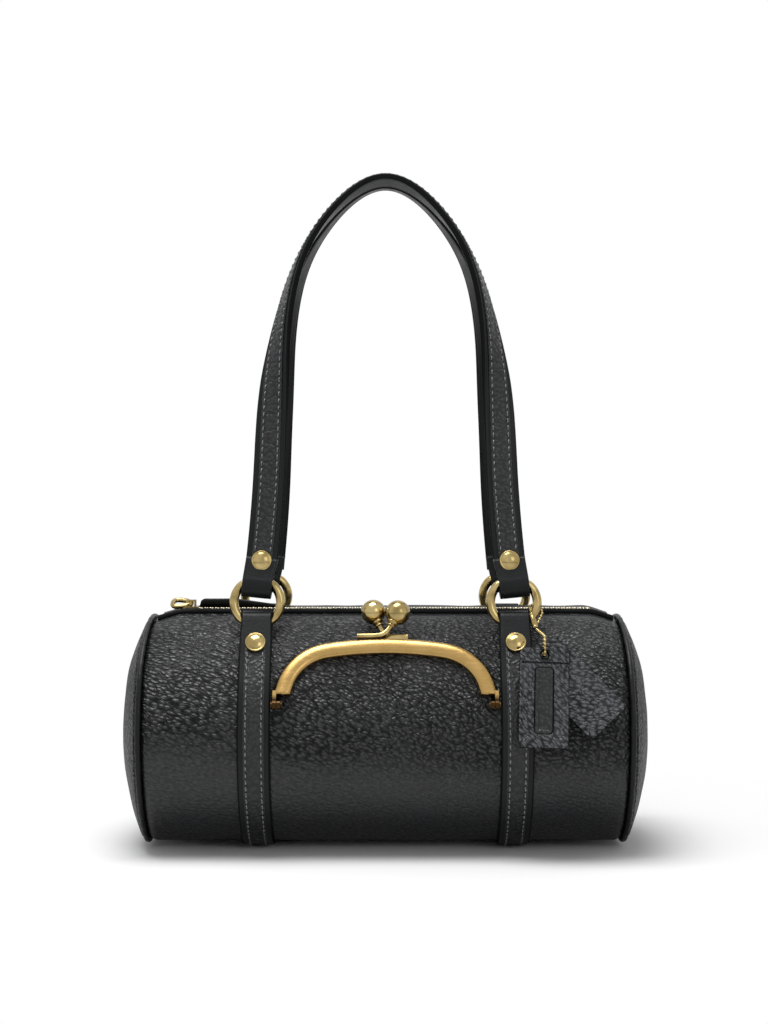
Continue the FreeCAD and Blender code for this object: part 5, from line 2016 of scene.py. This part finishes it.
@dataclass
class Charm:
    """The two leather tags on their bead chain, which wraps the ring and closes in a tubular connector."""

    finishes: Finishes
    anchor: tuple = (75.518, -34.372, 121.462)
    wrap_normal: tuple = (0.4291, -0.4980, 0.7536)
    wrap_radius: float = 3.6
    wrap_from: float = -0.1 * math.pi
    bead_radius: float = 0.8
    bead_pitch: float = 2.0
    bead_clear: float = 0.2
    pole: float = 0.02
    wire_radius: float = 0.4
    wire_step: float = 0.4
    wire_lean: float = 0.3
    smoothing_rounds: int = 6
    connector_radius: float = 1.5
    connector_drop: float = 3.0
    connector_way: tuple = (0.21, -0.52, -0.83)
    connector_length: float = 9.0
    connector_shares: tuple = ((0.3, 0.0), (0.78, 0.012), (0.96, 0.05), (1.0, 0.11), (0.9, 0.16), (0.9, 0.2),
                               (1.0, 0.25), (1.0, 0.75), (0.9, 0.8), (0.9, 0.84), (1.0, 0.89), (0.96, 0.95),
                               (0.78, 0.988), (0.3, 1.0))
    meet_back: float = 2.4
    above_back_share: float = 0.7
    hole_lean: float = math.radians(14.0)
    hole_reach: float = 4.4
    hole_rise: float = 8.8
    width: float = 24.2
    length: float = 49.0
    front_turn: float = math.radians(-5.0)
    thickness: float = 1.8
    corner: float = 3.0
    least_corner: float = 0.4
    round_over: float = 0.7
    rim_share: float = 0.3
    hole_radius: float = 2.0
    hole_inset: float = 3.6
    hole_rim_share: float = 0.7
    panel_half: float = 4.9
    panel_from: float = 5.6
    panel_to: float = 39.0
    panel_corner: float = 2.4
    fold_from: float = 1.4
    fold_inset: float = 0.9
    fold_corner: float = 0.06
    fold_slope_share: float = 0.8
    groove: float = 0.9
    groove_depth: float = 0.4
    frame_width: float = 1.2
    press_depth: float = 0.3
    face_cosine: float = 0.9

    def build(self) -> list[Object]:
        """Make both tags, the chain and its connector."""
        return [self.tag("front_tag", True), self.tag("rear_tag", False), *self.chain()]

    def wire_line(self, hole: ndarray, wrap: ndarray, start: ndarray, finish: ndarray) -> ndarray:
        """The wire's closed line: round the ring, down through both tags and back up behind.

        Args:
            hole: the middle of the tags' holes.
            wrap: points of the turn round the ring.
            start: the connector's upper end.
            finish: its lower end.

        Returns:
            Points of the line, smoothed.
        """
        rise, out = leaning_ways(self.hole_lean)
        ahead, behind = out * self.hole_reach, np.array([0.0, self.meet_back, 0.0])
        above = hole + ahead + rise * self.hole_rise
        route = np.array([*wrap, start, finish, above, hole + ahead, hole - ahead,
                          above + behind * self.above_back_share, finish + behind, wrap[0]])
        lengths = path_lengths(route)
        fine = np.linspace(0, lengths[-1], int(lengths[-1] / self.wire_step))
        line = read_along(fine, lengths, route)[:-1]
        for attempt in range(self.smoothing_rounds):
            line = (np.roll(line, 1, axis=0) + 2 * line + np.roll(line, -1, axis=0)) / 4
        return line

    def chain(self) -> list[Object]:
        """Round beads on a wire, and the tube that joins its ends."""
        hole = (self.solid_frame("front_tag")[0] + self.solid_frame("rear_tag")[0]) / 2
        normal = unit(np.array(self.wrap_normal))
        down = hole - np.array(self.anchor)
        down = unit(down - normal * (down @ normal))
        turn = np.linspace(self.wrap_from, math.pi, 24)
        wrap = self.anchor + self.wrap_radius * (np.outer(np.cos(turn), np.cross(normal, down))
                                                 - np.outer(np.sin(turn), down))
        way = unit(np.array(self.connector_way))
        start = wrap[-1] + way * self.connector_drop
        line = self.wire_line(hole, wrap, start, start + way * self.connector_length)
        runs = path_lengths(closed_up(line))
        stations = np.linspace(0, runs[-1], int(round(runs[-1] / self.bead_pitch)), endpoint=False)
        beads = read_along(stations, runs, closed_up(line))
        along = np.clip((beads - start) @ way, 0.0, self.connector_length)
        gap = np.linalg.norm(beads - start - np.outer(along, way), axis=1)
        clear = gap > self.connector_radius + self.bead_clear
        angle = np.linspace(self.pole, math.pi - self.pole, 11)
        ball = self.bead_radius * np.stack([np.sin(angle), -np.cos(angle)], axis=1)
        row = turned("tag_chain_beads", list(zip(beads[clear], closed_ways(beads)[clear])), ball,
                     self.finishes.brass, 14)
        wire_way = closed_ways(line)
        first = unit(np.cross(wire_way, normal + self.wire_lean * down))
        grid = tube_grid(line, first, np.cross(wire_way, first), self.wire_radius, 8)
        wire = hoop("tag_chain_wire", grid, self.wire_radius, runs, self.finishes.brass)
        shape = np.array(self.connector_shares) * np.array([self.connector_radius, self.connector_length])
        tube = turned("chain_connector_tube", [(start, way)], shape, self.finishes.brass, 24)
        return [carry(row, "tag_chain", Slot.BRASS, "tag_chain"), carry(wire, "tag_chain", Slot.BRASS),
                carry(tube, "tag_chain", Slot.BRASS, "chain_connector")]

    def tag(self, node: str, pressed: bool) -> Object:
        """A tag cut and rounded like its solid, found from that solid's own corners.

        Args:
            node: the node it stands for.
            pressed: whether it is the front one, which hangs turned and has a plain pressed panel.

        Returns:
            The object.
        """
        middle, right, down, out = self.solid_frame(node)
        turn = self.front_turn if pressed else 0.0
        ways = np.stack([right * math.cos(turn) + down * math.sin(turn),
                         down * math.cos(turn) - right * math.sin(turn), out])
        shape = bmesh.new()
        layer = shape.loops.layers.uv.new(GRAIN_MAP)
        half, over = self.thickness / 2, self.round_over

        def ring(points: ndarray, level: float) -> list[bmesh.types.BMVert]:
            """Corner points of a loop at a level of the tag's thickness."""
            spots = middle + np.column_stack([points, np.full(len(points), level)]) @ ways + BARREL.axis_shift
            return [shape.verts.new(tuple(spot * MM)) for spot in spots]

        def band(loops: list[list]) -> None:
            """Faces from each loop to the next, all of the same count."""
            for first, second in zip(loops, loops[1:]):
                for at in range(len(first)):
                    following = (at + 1) % len(first)
                    shape.faces.new((first[at], first[following], second[following], second[at]))

        def fill(*loops: list) -> None:
            """A flat face between an outer loop and the loops inside it."""
            pairs = [pair for loop in loops for pair in zip(loop, loop[1:] + loop[:1])]
            edges = [shape.edges.get(pair) or shape.edges.new(pair) for pair in pairs]
            bmesh.ops.triangle_fill(shape, edges=edges, use_beauty=True)

        def local(spot: Vector) -> ndarray:
            """A point of the mesh as across, down and out of the tag from its hole."""
            return ways @ (np.array(spot) / MM - BARREL.axis_shift - middle)

        rim = over * self.rim_share
        edge_steps = [(over, half), (rim, half - rim), (0.0, half - over)]
        edge_steps += [(inset, -level) for inset, level in reversed(edge_steps)]
        hole_steps = [(self.hole_radius + over * self.hole_rim_share, half), (self.hole_radius, half - over)]
        hole_steps += [(radius, -level) for radius, level in reversed(hole_steps)]
        edges = [ring(self.rounded_outline(inset), level) for inset, level in edge_steps]
        holes = [ring(self.circle(radius), level) for radius, level in hole_steps]
        band(edges)
        band(holes)
        inside = []
        if pressed:
            dip, low = self.groove / 2, half - self.groove_depth
            border = self.groove + self.frame_width
            steps = ((0.0, half), (dip, low), (self.groove, half), (border, half),
                     (border + dip, half - self.press_depth))
            fold = [ring(self.fold_outline(inset), level) for inset, level in steps[:2]]
            panel = [ring(self.panel_outline(inset), level) for inset, level in steps]
            for loops in (fold, panel):
                band(loops)
                fill(loops[-1])
                inside.append(loops[0])
        fill(edges[0], holes[0], *inside)
        fill(edges[-1], holes[-1])
        bmesh.ops.recalc_face_normals(shape, faces=shape.faces)
        # Faces that do not face out, the cut sides, take the matt black edge paint: a real painted edge that
        # also paints in the dark shadow line round the tag.
        for face in shape.faces:
            face.material_index = int(abs(float(out @ np.array(face.normal))) < self.face_cosine)
            across, along, ahead = local(face.calc_center_median())
            in_panel = (abs(across) < self.panel_half - self.groove / 2
                        and self.panel_from < along < self.panel_to)
            if pressed and in_panel and ahead > 0:
                face.material_index = 2
            for corner in face.loops:
                corner[layer].uv = tuple(local(corner.vert.co)[:2] * MM)
        mesh = bpy.data.meshes.new(f"{node}_leather")
        shape.to_mesh(mesh)
        shape.free()
        for finish in (self.finishes.tag_hide, self.finishes.edge_paint, self.finishes.panel_hide):
            mesh.materials.append(finish)
        return carry(put_object(f"{node}_leather", mesh), node, Slot.LEATHER, node)

    def solid_frame(self, node: str) -> tuple[ndarray, ndarray, ndarray, ndarray]:
        """Read where a tag's solid hangs.

        Args:
            node: the tag's node.

        Returns:
            The middle of its hole, and its right, down and out directions.
        """
        points = np.array([v.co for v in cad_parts[node].data.vertices], float) / MM - BARREL.axis_shift
        centred = points - (points.min(axis=0) + points.max(axis=0)) / 2
        axes = np.linalg.eigh(centred.T @ centred)[1]
        out, down = axes[:, 0], axes[:, 2]
        out = -out if out[1] > 0 else out
        down = -down if down[2] > 0 else down
        ways = np.stack([np.cross(down, out), down, out])
        local = points @ ways.T
        middle = (local.min(axis=0) + local.max(axis=0)) / 2
        middle[1] = local[:, 1].min() + self.hole_inset
        return middle @ ways, *ways

    def rounded_outline(self, inset: float) -> ndarray:
        """The tag's outline from the hole's middle, moved in by an inset."""
        return self.rounded_box(self.width / 2 - inset, inset - self.hole_inset,
                                self.length - self.hole_inset - inset,
                                max(self.corner - inset, self.least_corner))

    def panel_outline(self, inset: float) -> ndarray:
        """The plain pressed panel's outline, moved in by an inset."""
        return self.rounded_box(self.panel_half - inset, self.panel_from + inset, self.panel_to - inset,
                                self.panel_corner - inset)

    def fold_outline(self, inset: float) -> ndarray:
        """The pressed line under the hole, moved in by an inset."""
        low, narrower = self.fold_from + self.hole_radius, inset * self.fold_slope_share
        return self.rounded_box(self.width / 2 - self.fold_inset - inset, low + narrower,
                                low + self.groove - narrower, self.fold_corner)

    def rounded_box(self, half: float, low: float, high: float, corner: float) -> ndarray:
        """Points of a box with rounded corners.

        Args:
            half: half its width.
            low: its upper edge, as a distance down the tag.
            high: its lower edge.
            corner: radius of its corners.

        Returns:
            Places across and down.
        """
        spots = []
        corners = ((1, high, 1), (-1, high, 1), (-1, low, -1), (1, low, -1))
        for number, (aside, level, beyond) in enumerate(corners):
            turn = np.linspace(0, QUARTER_TURN, 7) + number * QUARTER_TURN
            spots.append(np.stack([aside * (half - corner) + corner * np.cos(turn),
                                   level - beyond * corner + corner * np.sin(turn)], axis=1))
        return np.concatenate(spots)

    def circle(self, radius: float) -> ndarray:
        """Points of a circle about the hole's middle."""
        return radius * on_circle(full_circle(24))


@dataclass
class Studio:
    """The pale floor, soft lights and the camera at the photograph's height and distance."""

    camera_x: float = -0.8
    camera_distance: float = 900.0
    camera_z: float = 170.7
    focal_pixels: float = 1722.0
    image_height: float = 1024.0
    sensor: float = 36.0
    near_clip: float = 0.01
    floor_half: float = 3.0
    floor_roughness: float = 0.9
    fade_near: float = 0.09
    fade_far: float = 0.36
    floor_colour: str = "#f4f4f4"
    sky_colour: str = "#ffffff"
    fill_strength: float = 0.3
    lamp_size: tuple = (0.6, 0.7)
    lamp_aim: tuple = (0.0, 0.0, 0.12)
    top_place: tuple = (-0.15, -0.1, 1.15)
    top_power: float = 13.2
    front_place: tuple = (0.75, -1.35, 0.75)
    front_power: float = 2.1

    def build(self) -> None:
        """Set up the view, world, floor, lamps and camera."""
        bpy.context.scene.view_settings.view_transform = "Standard"
        self.world()
        self.floor()
        self.lamp("top_softbox", self.top_place, self.top_power)
        self.lamp("front_softbox", self.front_place, self.front_power)
        self.camera()

    def world(self) -> None:
        """White where the camera and reflections look, and a softer even light elsewhere."""
        world = bpy.data.worlds.new("studio")
        bpy.context.scene.world = world
        world.use_nodes = True
        add = partial(add_node, world.node_tree)
        seen = add("LightPath").outputs
        mirror = add("Math", {0: seen["Is Camera Ray"], 1: seen["Is Glossy Ray"]}, operation="MAXIMUM")
        clear = add("Math", {0: mirror, 1: seen["Is Transmission Ray"]}, operation="MAXIMUM")
        strength = add("MapRange", {"Value": clear, "To Min": self.fill_strength, "To Max": 1.0})
        set_sockets(world.node_tree.nodes["Background"], {
            "Color": linear_colour(self.sky_colour), "Strength": strength})

    def floor(self) -> None:
        """A wide pale floor that takes the bag's shadow and fades to white away from it."""
        mesh = bpy.data.meshes.new("floor")
        reach = self.floor_half
        mesh.from_pydata([(-reach, -reach, 0), (reach, -reach, 0), (reach, reach, 0), (-reach, reach, 0)], [],
                         [(0, 1, 2, 3)])
        material, add, shader = start_material("matt_white_paper")
        set_sockets(shader, {
            "Base Color": linear_colour(self.floor_colour), "Roughness": self.floor_roughness})
        place = add("TexCoord").outputs["Object"]
        far = add("VectorMath", {0: place}, operation="LENGTH")
        fade = add("MapRange", {
            "Value": far.outputs["Value"], "From Min": self.fade_near, "From Max": self.fade_far},
            interpolation_type="SMOOTHSTEP")
        seen = add("LightPath")
        share = add("Math", {0: fade, 1: seen.outputs["Is Camera Ray"]}, operation="MULTIPLY")
        glow = add("Emission", {"Color": linear_colour(self.sky_colour)})
        mix = add("MixShader", {0: share, 1: shader, 2: glow})
        set_sockets(material.node_tree.nodes["Material Output"], {"Surface": mix})
        mesh.materials.append(material)
        put_object("floor", mesh)

    def lamp(self, name: str, place: tuple, power: float) -> None:
        """Hang a softbox.

        Args:
            name: the lamp's name.
            place: where it hangs, in metres.
            power: its power in watts.
        """
        data = bpy.data.lights.new(name, "AREA")
        data.shape = "RECTANGLE"
        data.size, data.size_y = self.lamp_size
        data.energy = power
        lamp = put_object(name, data)
        lamp.location = place
        lamp.rotation_euler = (Vector(self.lamp_aim) - Vector(place)).to_track_quat("-Z", "Y").to_euler()

    def camera(self) -> None:
        """A level camera in front of the bag."""
        data = bpy.data.cameras.new("camera")
        data.sensor_width = self.sensor
        data.lens = self.focal_pixels * self.sensor / self.image_height
        data.clip_start = self.near_clip
        camera = put_object("camera", data)
        camera.location = (self.camera_x * MM, (BARREL.centre_y - self.camera_distance) * MM,
                           self.camera_z * MM)
        camera.rotation_euler = (QUARTER_TURN, 0.0, 0.0)
        bpy.context.scene.camera = camera


@dataclass
class KissLock:
    """The coin pocket's brass: two frames on hinge pins, and two ball clasps whose strips cross."""

    finishes: Finishes
    ball_x: float = 6.15
    ball_rise: float = 43.6
    ball_radius: float = 6.2
    ball_pole: float = 0.02
    front_ahead: float = 0.6
    rear_ahead: float = -3.9
    strip_depth: float = 1.3
    strip_extra: float = 0.3
    strip_power: float = 0.55
    stem_points: int = 12
    bar_width: float = 8.0
    foot_gap: float = 0.05
    face_section: tuple = (
        (0.1, -3.0), (0.1, -1.5), (0.08, -0.3), (-0.12, 0.45), (-0.5, 0.95), (-1.1, 1.35), (-1.9, 1.7),
        (-2.9, 1.95), (-4.2, 2.05), (-5.6, 1.98), (-6.7, 1.75), (-7.5, 1.3), (-7.95, 0.7), (-8.1, -0.1),
        (-8.1, -3.0), (-7.7, -3.28), (-0.3, -3.28))
    front_strip: tuple = (
        (-14.2, 36.55, 1.1), (-10.0, 36.58, 1.1), (-6.0, 36.65, 1.1), (-3.0, 36.95, 1.15), (-1.0, 37.7, 1.2),
        (0.6, 39.0, 1.2), (1.7, 40.5, 1.2), (2.7, 42.4, 1.2), (3.6, 44.3, 1.2))
    rear_strip: tuple = (
        (11.2, 37.5, 2.0), (7.0, 37.5, 2.0), (3.5, 37.6, 2.0), (1.0, 38.3, 1.5), (-0.6, 39.8, 1.2),
        (-1.8, 41.6, 1.2), (-2.7, 43.6, 1.2), (-3.5, 45.6, 1.2))
    collar: tuple = (
        (1.2, -8.8), (1.85, -8.7), (2.2, -8.3), (2.15, -7.8), (1.75, -7.5), (1.8, -7.2), (2.4, -6.9),
        (2.85, -6.4), (2.9, -5.9), (2.55, -5.5), (2.5, -5.3))

    def build(self) -> list[Object]:
        """Dress the frames and pins, and make the clasps."""
        for node in ("kisslock_front_frame", "kisslock_rear_frame"):
            dress_node(node, self.finishes.frame_brass)
        dress_node("kisslock_hinge_pins", self.finishes.bronze)
        front = self.clasp("front_clasp", "kisslock_front", self.front_strip, self.front_ahead, self.ball_x)
        rear = self.clasp("rear_clasp", BAG, self.rear_strip, self.rear_ahead, -self.ball_x)
        return [self.frame_face(), *front, *rear]

    def frame_face(self) -> Object:
        """The front frame's crowned face: pressed sheet brass closed over the bar, cut level at both feet."""
        half = self.bar_width / 2
        corner = np.array(ARCH.corner())
        top = np.array([0.0, ARCH.top - ARCH.top_radius])
        meet = math.atan2(*(corner - top))
        over, bend = [np.stack([np.sin(angles), np.cos(angles)], axis=1) for angles in (
            np.linspace(0.0, meet, 30), np.linspace(meet, ARCH.leg_angle, 30)[1:])]
        flat = np.concatenate([top + (ARCH.top_radius - half) * over,
                               corner + (ARCH.corner_radius - half) * bend])
        leg_shares = np.linspace(0.3, 1.0, 6)
        drop = leg_shares[:, None] * (flat[-1, 1] - ARCH.foot + self.foot_gap)
        leg = flat[-1] + drop * np.array([1 / math.tan(ARCH.leg_angle), -1.0])
        flat = np.concatenate([flat, leg])
        aside = np.concatenate([over, bend, np.tile([1 / math.sin(ARCH.leg_angle), 0.0], (len(leg), 1))])
        flat, aside = [np.concatenate([right[:0:-1] * MIRRORED, right]) for right in (flat, aside)]
        path = np.array([ARCH.place(x, up, 0.0) for x, up in flat])
        piece = sweep("kisslock_front_face", path, aside @ np.stack([X_AXIS, ARCH.rise]), ARCH.ahead[None],
                      np.array(self.face_section) + np.array([half, 0.0]), self.finishes.frame_brass)
        return carry(piece, "kisslock_front", Slot.BRASS)

    def clasp(self, node: str, body: str, knots: tuple, ahead: float, ball_x: float) -> list[Object]:
        """One clasp.

        Args:
            node: the node it stands for.
            body: the body it moves with.
            knots: places across and up the frame's plane along the strip, and its half height there.
            ahead: distance of its middle in front of the plane.
            ball_x: where its ball stands.

        Returns:
            The strip that bends up into a stem, and the ball on its turned collar.
        """
        x, up, height = np.array(knots).T
        runs = path_lengths(np.stack([x, up], axis=1))
        fine = np.linspace(0, runs[-1], 60)
        tall = np.interp(fine, runs, height)
        places = zip(natural_spline(runs, x, fine), natural_spline(runs, up, fine))
        path = np.array([ARCH.place(aside, rise, ahead) for aside, rise in places])
        across = ARCH.ahead[None]
        profile = squared_off(on_circle(full_circle(24)), self.strip_power)
        out = np.cross(unit(np.gradient(path, axis=0)), across)
        strip = sweep(f"{node}_strip", path, across, out, profile, self.finishes.brass,
                      np.minimum(self.strip_depth, self.strip_extra + tall), tall)
        ball_up = (self.ball_rise - ahead * math.sin(ARCH.lean)) / math.cos(ARCH.lean)
        centre = ARCH.place(ball_x, ball_up, ahead)
        collar = np.array(self.collar)
        turn = np.linspace(math.asin(collar[-1, 0] / self.ball_radius), math.pi - self.ball_pole, 30)
        ball = self.ball_radius * np.stack([np.sin(turn), -np.cos(turn)], axis=1)
        knob = turned(f"{node}_ball", [(centre, unit(centre - path[-self.stem_points]))],
                      np.concatenate([collar, ball]), self.finishes.brass)
        return [carry(strip, body, Slot.BRASS), carry(knob, body, Slot.BRASS, node)]


@dataclass
class Hardware:
    """Pieces that keep their solid shape: the rings and the base board."""

    finishes: Finishes

    def build(self) -> list[Object]:
        """Dress the rings and the board."""
        for node in ("front_left_ring", "front_right_ring", "rear_left_ring", "rear_right_ring"):
            dress_node(node, self.finishes.brass)
        dress_node("base_board", self.finishes.board)
        return []


def main() -> None:
    """Build the studio and every sub-assembly."""
    logging.basicConfig(level=logging.INFO, format="%(message)s")
    Studio().build()
    finishes = Finishes(BARREL.half_girth)
    assemblies = [LeatherBody(finishes), ZipMouth(finishes), BodyStraps(finishes),
                  *[Handle(finishes, side) for side in Side], Charm(finishes), KissLock(finishes),
                  Hardware(finishes)]
    for assembly in assemblies:
        for piece in assembly.build():
            log.info("%s: %s, %d faces", type(assembly).__name__, piece.name, len(piece.data.polygons))


if __name__ == "__main__":
    main()
